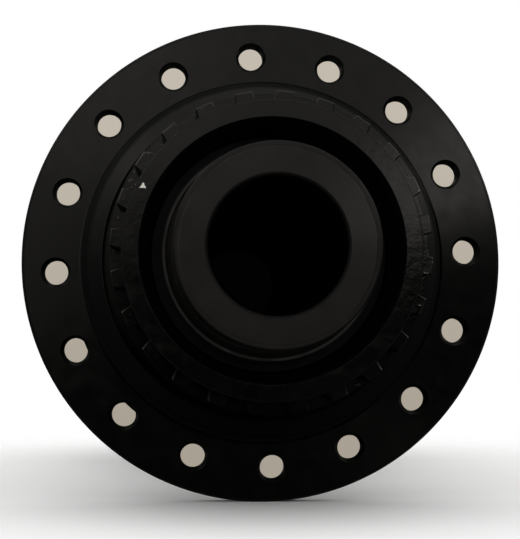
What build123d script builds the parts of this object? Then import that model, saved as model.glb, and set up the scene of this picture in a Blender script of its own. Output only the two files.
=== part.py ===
from build123d import *
import math
import os

# A bicycle rear hub for a 12 mm through axle, a splined disc rotor and a splined cassette.
# It is turned on one axis. The shapes are drawn with that axis on Z, the disc side at negative
# stations, and are laid along Y when they are written out. The origin is the middle of the axle.
# Lengths are in millimetres and angles in degrees.

FULL_TURN = 360.0
HALF_TURN = 180.0
QUARTER_TURN = 90.0

# Axle and frame interface
axle_width = 142.0
thru_axle_diameter = 12.0
thru_axle_clearance = 0.08
axle_wall = 1.42
axle_shoulder_height = 1.1
axle_end_chamfer = 0.4
axle_waist_depth = 0.5
axle_waist_inset = 6.0

# Fits between pieces
press_gap = 0.01
slip_gap = 0.02
race_clearance = 0.03
ball_pocket_clearance = 0.08
seal_lip_gap = 0.08
cage_gap = 0.12
cut_overrun = 1.0

# Bearing on the disc side of the hub shell, and in the inboard end of the cassette body
small_bearing_height = 4.5
small_bearing_width = 5.0
small_ball_diameter = 2.5
small_ball_count = 15

# Bearing on the drive side of the hub shell, and in the outboard end of the cassette body
large_bearing_height = 6.5
large_bearing_width = 7.0
large_ball_diameter = 4.0
large_ball_count = 11

# Details that both bearing sizes have
race_land_share = 0.3
cage_width_share = 1.24
race_edge_chamfer = 0.25
seal_thickness = 0.45
seal_set_back = 0.12
seal_groove_depth = 0.25

# Places along the axle, the flanges measured from the end-cap faces
disc_flange_inset = 37.0
rotor_mount_reach = 27.0
bearing_recess_depth = 9.0
drive_flange_inset = 49.4
ratchet_floor_depth = 1.6
bearing_set_back = 0.5

# Splined rotor mount on the disc side
recess_step = 0.76
rotor_thread_depth = 0.54
rotor_mouth_chamfer = 0.25
mount_wall = 1.2
nose_length = 2.3
nose_chamfer = 0.35
rotor_spline_count = 24
rotor_spline_height = 1.2
rotor_spline_length = 5.7
rotor_spline_phase = 5.0
rotor_spline_tip_angle = 6.2
rotor_spline_foot_angle = 8.4
rotor_spline_chamfer = 0.35
seat_step = 0.4
seat_edge_chamfer = 0.15

# Stepped neck between the rotor seat and the disc flange
neck_groove_width = 1.2
neck_groove_depth = 1.9
neck_foot_height = 6.3
neck_edge_height = 3.4
neck_cone_rise = 1.7
neck_edge_chamfer = 0.18
neck_fillet = 1.15

# Flanges and spoke holes
spoke_count = 16
spoke_hole_diameter = 2.7
countersink_diameter = 3.32
countersink_depth = 0.45
spoke_phase = 19.5
flange_edge_chamfer = 0.3
disc_spoke_inset = 2.6
disc_flange_margin = 3.75
disc_flange_thickness = 3.0
drive_spoke_inset = 2.2
drive_flange_margin = 3.3
drive_flange_thickness = 3.0

# Hollow barrel between the flanges
barrel_wall = 2.4
barrel_waist_drop = 1.1
barrel_root_length = 7.0
barrel_fillet = 3.0
cavity_step = 0.9
bearing_shoulder_width = 1.8
bearing_shoulder_height = 1.4
cavity_bevel = 1.5

# Ratchet ring and the drum that holds it
ring_step = 0.6
ratchet_depth = 1.1
ratchet_tooth_count = 24
ratchet_land_angle = 1.5
ring_wall = 1.5
ratchet_length = 8.0
ring_chamfer = 0.3
drum_wall = 1.8
drum_lip = 0.8
drum_edge_chamfer = 0.4
drum_fillet = 0.8

# Cassette body
carrier_gap = 0.5
carrier_end_gap = 0.9
carrier_bore_gap = 0.35
labyrinth_gap = 0.5
shoulder_thickness = 2.5
shoulder_height = 1.0
shoulder_chamfer = 0.4
freehub_floor_depth = 0.8
bearing_spacer_length = 13.0
cassette_spline_length = 35.0
cassette_spline_height = 1.1
cassette_spline_count = 9
cassette_rib_angle = 12.0
cassette_key_rib_angle = 19.0
cassette_end_chamfer = 0.5
cassette_end_bevel = 0.25
cassette_thread_step = 0.7
cassette_thread_depth = 0.55
cassette_mouth_chamfer = 0.4
freehub_wall = 0.95
freehub_bore_relief = 0.15
lip_seal_thickness = 0.6
lip_seal_end_gap = 0.1
lip_seal_groove_depth = 0.6

# Snap ring that keeps the outboard bearing in the cassette body
snap_ring_thickness = 1.0
snap_ring_height = 2.0
snap_ring_bite = 0.45
snap_ring_play = 0.05
snap_ring_gap_angle = 24.0
snap_ring_lug_angle = 6.0
snap_ring_lug_radius = 1.1
snap_ring_lug_hole_radius = 0.55

# Pawls and their leaf springs
pawl_count = 3
pawl_width = 5.6
pawl_side_gap = 0.15
pawl_end_wall = 0.7
pawl_pivot_depth = 2.2
pawl_heel_radius = 1.6
pawl_heel_clearance = 0.05
pawl_heel_angle = 12.0
pawl_span_angle = 25.0
pawl_tip_gap = 0.45
pawl_face_gap_angle = 3.5
pawl_tip_height = 1.7
pawl_back_angle = 12.0
pawl_back_gap = 0.3
pawl_swing_angle = 9.0
pocket_mouth_angle = 1.0
pocket_tip_room_angle = 6.0
pocket_floor_wall = 1.0
pocket_floor_rise = 1.6
leaf_thickness = 0.22
leaf_width = 4.0
leaf_gap = 0.06
leaf_foot_share = 0.85
leaf_fold_share = 0.4
leaf_tip_share = 0.78

# End caps and their rubber rings
cap_overhang = 7.0
cap_wall = 1.15
cap_edge_rounding = 0.6
cap_bore_chamfer = 0.55
cap_boss_length = 1.0
skirt_height = 1.2
skirt_reach = 4.0
skirt_lip = 0.35
skirt_groove_depth = 1.5
skirt_groove_width = 0.55
skirt_chamfer = 0.12
drive_cap_boss_length = 2.2
drive_skirt_height = 2.6
drive_skirt_length = 2.4
o_ring_section = 0.8
o_ring_groove_gap = 0.03
o_ring_groove_play = 0.15
o_ring_inset = 4.0

# Radii that follow from the axle outwards
bore_radius = thru_axle_diameter / 2 + thru_axle_clearance
axle_radius = bore_radius + axle_wall
axle_shoulder_radius = axle_radius + axle_shoulder_height
cap_groove_radius = axle_radius + slip_gap + o_ring_section + o_ring_groove_gap
cap_radius = cap_groove_radius + cap_wall


class BearingSize:
    """Sizes of one sealed ball bearing that sits on the axle."""

    def __init__(self, height, width, ball_diameter, ball_count):
        self.bore_radius = axle_radius + slip_gap
        self.outer_radius = axle_radius + height
        self.width = width
        self.ball_radius = ball_diameter / 2
        self.ball_count = ball_count
        self.pitch_radius = (self.bore_radius + self.outer_radius) / 2
        self.inner_land = self.pitch_radius - ball_diameter * race_land_share
        self.outer_land = self.pitch_radius + ball_diameter * race_land_share
        self.seal_radius = self.outer_land + seal_groove_depth
        self.pocket_radius = self.outer_radius + press_gap


small_bearing = BearingSize(
    small_bearing_height, small_bearing_width, small_ball_diameter, small_ball_count)
large_bearing = BearingSize(
    large_bearing_height, large_bearing_width, large_ball_diameter, large_ball_count)

# Radii of the disc side, from the bearing outwards
rotor_thread_minor = small_bearing.outer_radius + recess_step
rotor_thread_major = rotor_thread_minor + rotor_thread_depth
nose_radius = rotor_thread_major + mount_wall
rotor_spline_radius = nose_radius + rotor_spline_height
seat_radius = rotor_spline_radius + seat_step
neck_foot_radius = seat_radius + neck_groove_width
neck_edge_radius = neck_foot_radius + neck_cone_rise
disc_spoke_radius = neck_edge_radius + neck_fillet + disc_spoke_inset
disc_flange_radius = disc_spoke_radius + disc_flange_margin

# Radii of the drive side, from the bearing outwards
ratchet_tip_radius = large_bearing.outer_radius + ring_step
ratchet_root_radius = ratchet_tip_radius + ratchet_depth
ring_radius = ratchet_root_radius + ring_wall
drum_radius = ring_radius + press_gap + drum_wall
drive_spoke_radius = drum_radius + drive_spoke_inset
drive_flange_radius = drive_spoke_radius + drive_flange_margin
carrier_radius = ratchet_tip_radius - carrier_gap
carrier_bore_radius = axle_shoulder_radius + carrier_bore_gap
cassette_thread_minor = large_bearing.outer_radius + cassette_thread_step
cassette_thread_major = cassette_thread_minor + cassette_thread_depth
cassette_root_radius = cassette_thread_major + freehub_wall
cassette_radius = cassette_root_radius + cassette_spline_height
shoulder_radius = cassette_radius + shoulder_height

# Radii of the hollow barrel
cavity_radius = small_bearing.outer_radius + cavity_step
barrel_radius = cavity_radius + barrel_wall
barrel_waist_radius = barrel_radius - barrel_waist_drop
cavity_waist_radius = barrel_waist_radius - barrel_wall

# Stations of the disc side, from the cap face inwards
half_width = axle_width / 2
disc_flange_face = -half_width + disc_flange_inset
disc_flange_back = disc_flange_face + disc_flange_thickness
mount_end = disc_flange_face - rotor_mount_reach
spline_end = mount_end + nose_length
seat_station = spline_end + rotor_spline_length
neck_foot_station = disc_flange_face - neck_foot_height
neck_edge_station = disc_flange_face - neck_edge_height
disc_bearing_outboard = mount_end + bearing_recess_depth
disc_bearing_inboard = disc_bearing_outboard + small_bearing.width

# Stations of the drive side, from the flange outwards
drive_flange_face = half_width - drive_flange_inset
drive_flange_back = drive_flange_face - drive_flange_thickness
ratchet_floor = drive_flange_face - ratchet_floor_depth
drive_bearing_outboard = ratchet_floor - bearing_set_back
drive_bearing_inboard = drive_bearing_outboard - large_bearing.width
ring_end = ratchet_floor + ratchet_length
drum_end = ring_end + drum_lip
carrier_start = ratchet_floor + carrier_end_gap
shoulder_start = drum_end + labyrinth_gap
shoulder_end = shoulder_start + shoulder_thickness
cassette_end = shoulder_end + cassette_spline_length
inner_freehub_bearing = shoulder_start + freehub_floor_depth
outer_freehub_bearing = inner_freehub_bearing + small_bearing.width + bearing_spacer_length
freehub_bearing_end = outer_freehub_bearing + large_bearing.width
snap_ring_start = freehub_bearing_end + snap_ring_play
snap_ring_end = snap_ring_start + snap_ring_thickness
pawl_start = carrier_start + pawl_end_wall + pawl_side_gap
lip_seal_start = ring_end + lip_seal_end_gap

# Pawl places, measured from each pawl's pivot
pivot_radius = carrier_radius - pawl_pivot_depth
pawl_tip_radius = ratchet_root_radius - pawl_tip_gap
pocket_floor_radius = carrier_bore_radius + pocket_floor_wall


def turned(*corners):
    """A full turn about the hub axis of a closed outline of (radius, station, rounding) corners."""
    places = [(radius, 0, station) for radius, station, _ in corners]
    roundings = [rounding for _, _, rounding in corners]
    outline = FilletPolyline(*places, radius=roundings, close=True)
    return revolve(make_face(outline), Axis.Z, FULL_TURN)


def ring_solid(inner, outer, start, end, chamfer=0):
    """A plain ring with its four edges broken by the chamfer."""
    if chamfer == 0:
        return turned((inner, start, 0), (outer, start, 0), (outer, end, 0), (inner, end, 0))
    return turned(
        (inner + chamfer, start, 0),
        (outer - chamfer, start, 0),
        (outer, start + chamfer, 0),
        (outer, end - chamfer, 0),
        (outer - chamfer, end, 0),
        (inner + chamfer, end, 0),
        (inner, end - chamfer, 0),
        (inner, start + chamfer, 0),
    )


def polar(radius, angle):
    """A point in the turning plane, the angle taken from X towards Y."""
    turn = math.radians(angle)
    return (radius * math.cos(turn), radius * math.sin(turn))


def slab(shape, start, end):
    """A flat sketch given its thickness between two stations."""
    return Pos(0, 0, start) * extrude(shape, end - start, dir=(0, 0, 1))


def around(shape, angle):
    """The shape turned about the hub axis."""
    return Rot(0, 0, angle) * shape


def spoke_holes(radius, face, back, phase):
    """All spoke holes of one flange, countersunk on both sides."""
    hole_radius = spoke_hole_diameter / 2
    sink_radius = countersink_diameter / 2
    low = min(face, back)
    high = max(face, back)
    flare = (sink_radius - hole_radius) / countersink_depth
    wide = sink_radius + flare * cut_overrun
    cutter = turned(
        (0, low - cut_overrun, 0),
        (wide, low - cut_overrun, 0),
        (hole_radius, low + countersink_depth, 0),
        (hole_radius, high - countersink_depth, 0),
        (wide, high + cut_overrun, 0),
        (0, high + cut_overrun, 0),
    )
    pitch = FULL_TURN / spoke_count
    hole = Pos(radius, 0, 0) * cutter
    return [around(hole, phase + pitch * index) for index in range(spoke_count)]


def splined_collar(root, tip, start, end, ribs, chamfer):
    """Straight ribs on a collar; each rib is (middle angle, tip angle, foot angle)."""
    shape = Circle(root)
    for middle, tip_angle, foot_angle in ribs:
        reach = tip / math.cos(math.radians(tip_angle / 2))
        rib = Polygon(
            (0, 0),
            polar(root, middle - foot_angle / 2),
            polar(reach, middle - tip_angle / 2),
            polar(reach, middle + tip_angle / 2),
            polar(root, middle + foot_angle / 2),
            align=None,
        )
        shape += rib & Circle(tip)
    collar = slab(shape, start, end)
    envelope = turned(
        (0, start, 0),
        (tip - chamfer, start, 0),
        (tip, start + chamfer, 0),
        (tip, end, 0),
        (0, end, 0),
    )
    return collar & envelope


def hub_shell():
    """The one-piece shell: rotor mount, neck, two flanges, hollow barrel and ratchet drum."""
    groove_floor = neck_foot_station + neck_groove_depth
    waist = (disc_flange_back + drive_flange_back) / 2
    disc_land = disc_bearing_inboard + bearing_shoulder_width
    drive_land = drive_bearing_inboard - bearing_shoulder_width
    disc_shoulder = small_bearing.outer_radius - bearing_shoulder_height
    drive_shoulder = large_bearing.outer_radius - bearing_shoulder_height
    blank = turned(
        (rotor_thread_minor + rotor_mouth_chamfer, mount_end, 0),
        (nose_radius - nose_chamfer, mount_end, 0),
        (nose_radius, mount_end + nose_chamfer, 0),
        (nose_radius, seat_station, 0),
        (seat_radius - seat_edge_chamfer, seat_station, 0),
        (seat_radius, seat_station + seat_edge_chamfer, 0),
        (seat_radius, groove_floor, 0),
        (neck_foot_radius, groove_floor, 0),
        (neck_foot_radius, neck_foot_station, 0),
        (neck_edge_radius - neck_edge_chamfer, neck_edge_station - neck_edge_chamfer, 0),
        (neck_edge_radius, neck_edge_station, 0),
        (neck_edge_radius, disc_flange_face, neck_fillet),
        (disc_flange_radius - flange_edge_chamfer, disc_flange_face, 0),
        (disc_flange_radius, disc_flange_face + flange_edge_chamfer, 0),
        (disc_flange_radius, disc_flange_back - flange_edge_chamfer, 0),
        (disc_flange_radius - flange_edge_chamfer, disc_flange_back, 0),
        (barrel_radius, disc_flange_back, barrel_fillet),
        (barrel_radius, disc_flange_back + barrel_root_length, 0),
        (barrel_waist_radius, waist, 0),
        (barrel_radius, drive_flange_back - barrel_root_length, 0),
        (barrel_radius, drive_flange_back, barrel_fillet),
        (drive_flange_radius - flange_edge_chamfer, drive_flange_back, 0),
        (drive_flange_radius, drive_flange_back + flange_edge_chamfer, 0),
        (drive_flange_radius, drive_flange_face - flange_edge_chamfer, 0),
        (drive_flange_radius - flange_edge_chamfer, drive_flange_face, 0),
        (drum_radius, drive_flange_face, drum_fillet),
        (drum_radius, drum_end - drum_edge_chamfer, 0),
        (drum_radius - drum_edge_chamfer, drum_end, 0),
        (ring_radius + press_gap, drum_end, 0),
        (ring_radius + press_gap, ratchet_floor, 0),
        (large_bearing.pocket_radius, ratchet_floor, 0),
        (large_bearing.pocket_radius, drive_bearing_inboard, 0),
        (drive_shoulder, drive_bearing_inboard, 0),
        (drive_shoulder, drive_land, 0),
        (cavity_waist_radius, drive_land - cavity_bevel, 0),
        (cavity_waist_radius, disc_land + cavity_bevel, 0),
        (disc_shoulder, disc_land, 0),
        (disc_shoulder, disc_bearing_inboard, 0),
        (small_bearing.pocket_radius, disc_bearing_inboard, 0),
        (small_bearing.pocket_radius, disc_bearing_outboard - bearing_set_back, 0),
        (rotor_thread_minor, disc_bearing_outboard - bearing_set_back, 0),
        (rotor_thread_minor, mount_end + rotor_mouth_chamfer, 0),
    )
    pitch = FULL_TURN / rotor_spline_count
    ribs = [
        (rotor_spline_phase + pitch * index, rotor_spline_tip_angle, rotor_spline_foot_angle)
        for index in range(rotor_spline_count)
    ]
    splines = splined_collar(
        nose_radius, rotor_spline_radius, spline_end, seat_station, ribs, rotor_spline_chamfer)
    core = slab(Circle(nose_radius - mount_wall / 2), spline_end, seat_station)
    shell = blank + (splines - core)
    disc_holes = spoke_holes(disc_spoke_radius, disc_flange_face, disc_flange_back, spoke_phase)
    drive_phase = spoke_phase + HALF_TURN / spoke_count
    drive_holes = spoke_holes(drive_spoke_radius, drive_flange_face, drive_flange_back, drive_phase)
    return shell - disc_holes - drive_holes


def ratchet_ring():
    """The hardened ring with inward saw teeth that the pawls push against."""
    pitch = FULL_TURN / ratchet_tooth_count
    points = []
    for index in range(ratchet_tooth_count):
        face_angle = pitch * index
        points.append(polar(ratchet_tip_radius, face_angle))
        points.append(polar(ratchet_root_radius, face_angle))
        points.append(polar(ratchet_tip_radius, face_angle + pitch - ratchet_land_angle))
    teeth = Polygon(*points, align=None)
    ring = slab(Circle(ring_radius) - teeth, ratchet_floor, ring_end)
    envelope = turned(
        (0, ratchet_floor, 0),
        (ring_radius - ring_chamfer, ratchet_floor, 0),
        (ring_radius, ratchet_floor + ring_chamfer, 0),
        (ring_radius, ring_end, 0),
        (0, ring_end, 0),
    )
    return ring & envelope


def inner_race(size, start):
    """Inner race with its ball groove, on the axle."""
    end = start + size.width
    middle = (start + end) / 2
    blank = ring_solid(size.bore_radius, size.inner_land, start, end, race_edge_chamfer)
    groove = Torus(size.pitch_radius, size.ball_radius + race_clearance)
    return blank - Pos(0, 0, middle) * groove


def outer_race(size, start):
    """Outer race with its ball groove and a seal recess at each side."""
    end = start + size.width
    middle = (start + end) / 2
    recess = seal_set_back + seal_thickness + slip_gap
    blank = turned(
        (size.seal_radius, start, 0),
        (size.outer_radius - race_edge_chamfer, start, 0),
        (size.outer_radius, start + race_edge_chamfer, 0),
        (size.outer_radius, end - race_edge_chamfer, 0),
        (size.outer_radius - race_edge_chamfer, end, 0),
        (size.seal_radius, end, 0),
        (size.seal_radius, end - recess, 0),
        (size.outer_land, end - recess, 0),
        (size.outer_land, start + recess, 0),
        (size.seal_radius, start + recess, 0),
    )
    groove = Torus(size.pitch_radius, size.ball_radius + race_clearance)
    return blank - Pos(0, 0, middle) * groove


def bearing_seal(size, start):
    """One rubber seal disc, held by the outer race and just clear of the inner one."""
    return ring_solid(
        size.inner_land + seal_lip_gap, size.seal_radius - press_gap, start, start + seal_thickness)


def bearing_balls(size, start):
    """The balls as one group of separate spheres."""
    middle = start + size.width / 2
    pitch = FULL_TURN / size.ball_count
    ball = Pos(size.pitch_radius, 0, middle) * Sphere(size.ball_radius)
    return Compound(children=[around(ball, pitch * index) for index in range(size.ball_count)])


def bearing_cage(size, start):
    """The ring that spaces the balls, with one round pocket for each."""
    middle = start + size.width / 2
    half_width_of_cage = size.ball_radius * cage_width_share
    ring = ring_solid(
        size.inner_land + cage_gap, size.outer_land - cage_gap,
        middle - half_width_of_cage, middle + half_width_of_cage)
    drill = Rot(0, QUARTER_TURN, 0) * Cylinder(
        size.ball_radius + ball_pocket_clearance, size.outer_radius)
    pocket = Pos(size.outer_radius, 0, middle) * drill
    pitch = FULL_TURN / size.ball_count
    return ring - [around(pocket, pitch * index) for index in range(size.ball_count)]


def axle_tube():
    """The hollow axle, with a raised middle whose shoulders carry the two shell bearings."""
    end = half_width - cap_overhang
    waist_radius = axle_shoulder_radius - axle_waist_depth
    waist_start = disc_bearing_inboard + axle_waist_inset
    waist_end = drive_bearing_inboard - axle_waist_inset
    return turned(
        (bore_radius, -end, 0),
        (axle_radius - axle_end_chamfer, -end, 0),
        (axle_radius, -end + axle_end_chamfer, 0),
        (axle_radius, disc_bearing_inboard, 0),
        (axle_shoulder_radius, disc_bearing_inboard, 0),
        (axle_shoulder_radius, waist_start, 0),
        (waist_radius, waist_start + axle_waist_depth, 0),
        (waist_radius, waist_end - axle_waist_depth, 0),
        (axle_shoulder_radius, waist_end, 0),
        (axle_shoulder_radius, drive_bearing_inboard, 0),
        (axle_radius, drive_bearing_inboard, 0),
        (axle_radius, end - axle_end_chamfer, 0),
        (axle_radius - axle_end_chamfer, end, 0),
        (bore_radius, end, 0),
    )


def axle_spacer(start, end):
    """A plain tube that spaces two inner races."""
    return ring_solid(
        axle_radius + slip_gap, axle_shoulder_radius, start, end, race_edge_chamfer)


def o_ring_station():
    """Distance of the rubber rings from the middle of the axle."""
    return half_width - cap_overhang - o_ring_inset


def o_ring():
    """A rubber ring that grips the axle inside an end cap, drawn for the drive side."""
    section = o_ring_section / 2
    middle = axle_radius + slip_gap + section
    return Pos(0, 0, o_ring_station()) * Torus(middle, section)


def cap_bore_corners(seat):
    """Inner outline of an end cap from its open end to its face, drawn for the drive side."""
    counterbore = axle_radius + slip_gap
    groove_start = o_ring_station() - o_ring_section / 2 - o_ring_groove_play
    groove_end = o_ring_station() + o_ring_section / 2 + o_ring_groove_play
    axle_end = half_width - cap_overhang
    return [
        (bore_radius + cap_bore_chamfer, half_width, 0),
        (bore_radius, half_width - cap_bore_chamfer, 0),
        (bore_radius, axle_end, 0),
        (counterbore, axle_end, 0),
        (counterbore, groove_end, 0),
        (cap_groove_radius, groove_end, 0),
        (cap_groove_radius, groove_start, 0),
        (counterbore, groove_start, 0),
        (counterbore, seat, 0),
    ]


def disc_end_cap():
    """The stepped disc-side cap with its thin dust lip, drawn for the drive side and turned over."""
    seat = -disc_bearing_outboard
    rim = seat + skirt_reach
    skirt_radius = cap_radius + skirt_height
    lip_inner = skirt_radius - skirt_lip
    groove_inner = lip_inner - skirt_groove_width
    cap = turned(
        *cap_bore_corners(seat),
        (axle_shoulder_radius, seat, 0),
        (axle_shoulder_radius, seat + cap_boss_length, 0),
        (skirt_radius, seat + cap_boss_length, 0),
        (skirt_radius, rim - skirt_chamfer, 0),
        (skirt_radius - skirt_chamfer, rim, 0),
        (lip_inner, rim, 0),
        (lip_inner, rim - skirt_groove_depth, 0),
        (groove_inner, rim - skirt_groove_depth, 0),
        (groove_inner, rim, 0),
        (cap_radius, rim, 0),
        (cap_radius, half_width, cap_edge_rounding),
    )
    return Rot(HALF_TURN, 0, 0) * cap


def drive_end_cap():
    """The drive-side cap, with a wider skirt that covers the outboard bearing."""
    seat = freehub_bearing_end
    skirt_start = seat + drive_cap_boss_length
    skirt_end = skirt_start + drive_skirt_length
    skirt_radius = cap_radius + drive_skirt_height
    return turned(
        *cap_bore_corners(seat),
        (axle_shoulder_radius, seat, 0),
        (axle_shoulder_radius, skirt_start, 0),
        (skirt_radius, skirt_start, 0),
        (skirt_radius, skirt_end - skirt_lip, 0),
        (skirt_radius - skirt_lip, skirt_end, 0),
        (cap_radius, skirt_end, 0),
        (cap_radius, half_width, cap_edge_rounding),
    )


def heel_point(side):
    """Where the pawl's arm leaves its round heel, on the inner side (-1) or the outer side (1)."""
    turn = math.radians(pawl_heel_angle)
    return (
        pivot_radius + side * pawl_heel_radius * math.cos(turn),
        -pawl_heel_radius * math.sin(turn),
    )


def swung(point):
    """A point of a fully reaching pawl, turned about the pivot to where the tip clears the teeth."""
    turn = math.radians(pawl_swing_angle)
    across = point[0] - pivot_radius
    return (
        pivot_radius + across * math.cos(turn) + point[1] * math.sin(turn),
        point[1] * math.cos(turn) - across * math.sin(turn),
    )


def pawl_underside():
    """The two ends of the pawl's lower edge, at the heel and at the tip."""
    under_tip = polar(pawl_tip_radius - pawl_tip_height, -pawl_span_angle)
    return swung(heel_point(-1)), swung(under_tip)


def pawl_outline():
    """Flat outline of a pawl whose pivot is at angle zero and whose tip points to lower angles."""
    heel = Pos(pivot_radius, 0) * Circle(pawl_heel_radius)
    back = polar(ratchet_tip_radius - pawl_back_gap, pawl_back_angle - pawl_span_angle)
    under_heel, under_tip = pawl_underside()
    arm = Polygon(
        swung(polar(pawl_tip_radius, -pawl_span_angle)),
        swung(back),
        swung(heel_point(1)),
        under_heel,
        under_tip,
        align=None,
    )
    return heel + arm


def pawl(angle):
    """One pawl, held in by the tooth tips that it rides over."""
    return around(slab(pawl_outline(), pawl_start, pawl_start + pawl_width), angle)


def pocket_floor():
    """The two ends of the pocket's floor, under the heel and past the tip."""
    tip_angle = pawl_span_angle + pocket_tip_room_angle
    return (pocket_floor_radius, 0), polar(pocket_floor_radius + pocket_floor_rise, -tip_angle)


def pawl_pocket(angle):
    """The space that one pawl and its leaf spring need in the carrier."""
    heel = Pos(pivot_radius, 0) * Circle(pawl_heel_radius + pawl_heel_clearance)
    beyond = carrier_radius + cut_overrun
    floor_heel, floor_tip = pocket_floor()
    room = Polygon(
        (pivot_radius, 0),
        polar(beyond, -pocket_mouth_angle),
        polar(beyond, -pawl_span_angle - pocket_tip_room_angle),
        floor_tip,
        floor_heel,
        align=None,
    )
    start = pawl_start - pawl_side_gap
    end = pawl_start + pawl_width + pawl_side_gap
    return around(slab(heel + room, start, end), angle)


def freehub_body():
    """The cassette body: pawl carrier, shoulder, ribs, bearing seats and lockring thread."""
    relief = small_bearing.outer_radius + freehub_bore_relief
    seal_groove = carrier_radius - lip_seal_groove_depth
    seal_end = lip_seal_start + slip_gap + lip_seal_thickness + slip_gap
    ring_groove = cassette_thread_minor + snap_ring_bite
    blank = turned(
        (carrier_bore_radius, carrier_start, 0),
        (carrier_radius - race_edge_chamfer, carrier_start, 0),
        (carrier_radius, carrier_start + race_edge_chamfer, 0),
        (carrier_radius, lip_seal_start, 0),
        (seal_groove, lip_seal_start, 0),
        (seal_groove, seal_end, 0),
        (carrier_radius, seal_end, 0),
        (carrier_radius, shoulder_start, 0),
        (shoulder_radius - shoulder_chamfer, shoulder_start, 0),
        (shoulder_radius, shoulder_start + shoulder_chamfer, 0),
        (shoulder_radius, shoulder_end - shoulder_chamfer, 0),
        (shoulder_radius - shoulder_chamfer, shoulder_end, 0),
        (cassette_root_radius, shoulder_end, 0),
        (cassette_root_radius, cassette_end - cassette_end_chamfer, 0),
        (cassette_root_radius - cassette_end_bevel, cassette_end, 0),
        (cassette_thread_minor + cassette_mouth_chamfer, cassette_end, 0),
        (cassette_thread_minor, cassette_end - cassette_mouth_chamfer, 0),
        (cassette_thread_minor, snap_ring_end + snap_ring_play, 0),
        (ring_groove, snap_ring_end + snap_ring_play, 0),
        (ring_groove, freehub_bearing_end, 0),
        (large_bearing.pocket_radius, freehub_bearing_end, 0),
        (large_bearing.pocket_radius, outer_freehub_bearing, 0),
        (relief, outer_freehub_bearing, 0),
        (relief, inner_freehub_bearing + small_bearing.width, 0),
        (small_bearing.pocket_radius, inner_freehub_bearing + small_bearing.width, 0),
        (small_bearing.pocket_radius, inner_freehub_bearing, 0),
        (carrier_bore_radius, inner_freehub_bearing, 0),
    )
    pitch = FULL_TURN / cassette_spline_count
    ribs = [(pitch * index, cassette_rib_angle, cassette_rib_angle)
            for index in range(1, cassette_spline_count)]
    ribs.append((0, cassette_key_rib_angle, cassette_key_rib_angle))
    collar = splined_collar(
        cassette_root_radius, cassette_radius, -cassette_end, -shoulder_end, ribs,
        cassette_end_chamfer)
    core = slab(Circle(cassette_root_radius - freehub_wall / 2), -cassette_end, -shoulder_end)
    body = blank + Rot(HALF_TURN, 0, 0) * (collar - core)
    return body - [pawl_pocket(angle) for angle in pawl_angles()]


def pawl_angles():
    """Angle of each pawl's pivot, so that every tip can swing out behind a tooth face."""
    tooth_pitch = FULL_TURN / ratchet_tooth_count
    first = tooth_pitch * math.ceil(pawl_span_angle / tooth_pitch) + pawl_span_angle
    pitch = FULL_TURN / pawl_count
    return [first + pawl_face_gap_angle + pitch * index for index in range(pawl_count)]


def between(first, second, share):
    """The point that lies the given share of the way from the first point to the second."""
    return tuple(a + (b - a) * share for a, b in zip(first, second))


def raised(point, distance):
    """The point moved straight away from the hub axis."""
    radius = math.hypot(*point)
    return tuple(value * (radius + distance) / radius for value in point)


def pawl_springs():
    """The bent leaf under each pawl, one leg on the pocket's floor and one under the pawl."""
    offset = leaf_thickness / 2 + leaf_gap
    floor_foot = raised(between(*pocket_floor(), leaf_foot_share), offset)
    floor_fold = raised(between(*pocket_floor(), leaf_fold_share), offset)
    under_fold = between(*pawl_underside(), leaf_fold_share)
    under_tip = raised(between(*pawl_underside(), leaf_tip_share), -offset)
    path = FilletPolyline(
        floor_foot, floor_fold, raised(under_fold, -offset), under_tip, radius=[0, 0])
    strip = trace(path, leaf_thickness)
    start = pawl_start + (pawl_width - leaf_width) / 2
    leaf = slab(strip, start, start + leaf_width)
    return Compound(children=[around(leaf, angle) for angle in pawl_angles()])


def lip_seal():
    """The thin rubber disc that closes the mouth of the ratchet drum."""
    start = lip_seal_start + slip_gap
    return ring_solid(
        carrier_radius - lip_seal_groove_depth + slip_gap, ring_radius - seal_lip_gap,
        start, start + lip_seal_thickness)


def snap_ring():
    """The open ring with two drilled lugs that keeps the outboard bearing in."""
    outer = cassette_thread_minor + snap_ring_bite - slip_gap
    inner = outer - snap_ring_height
    half_gap = snap_ring_gap_angle / 2
    wide = outer / math.cos(math.radians(half_gap))
    gap = Polygon((0, 0), polar(wide, -half_gap), polar(wide, half_gap), align=None)
    shape = Circle(outer) - Circle(inner) - gap
    for side in (-1, 1):
        lug = Pos(*polar(inner, side * (half_gap + snap_ring_lug_angle)))
        shape += lug * Circle(snap_ring_lug_radius)
        shape -= lug * Circle(snap_ring_lug_hole_radius)
    return slab(shape, snap_ring_start, snap_ring_end)


def place(shape):
    """The finished shape with its turning axis laid along Y."""
    return Rot(-QUARTER_TURN, 0, 0) * shape


def write(name, shape):
    """One STEP file for each named piece."""
    laid = place(shape)
    laid.label = name
    export_step(laid, os.path.join("parts", name + ".step"))


def write_bearing(name, size, start):
    """The six pieces of one sealed bearing."""
    near_seal = start + seal_set_back
    far_seal = start + size.width - seal_set_back - seal_thickness
    write(name + "_inner_race", inner_race(size, start))
    write(name + "_outer_race", outer_race(size, start))
    write(name + "_balls", bearing_balls(size, start))
    write(name + "_cage", bearing_cage(size, start))
    write(name + "_disc_side_seal", bearing_seal(size, near_seal))
    write(name + "_drive_side_seal", bearing_seal(size, far_seal))


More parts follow.
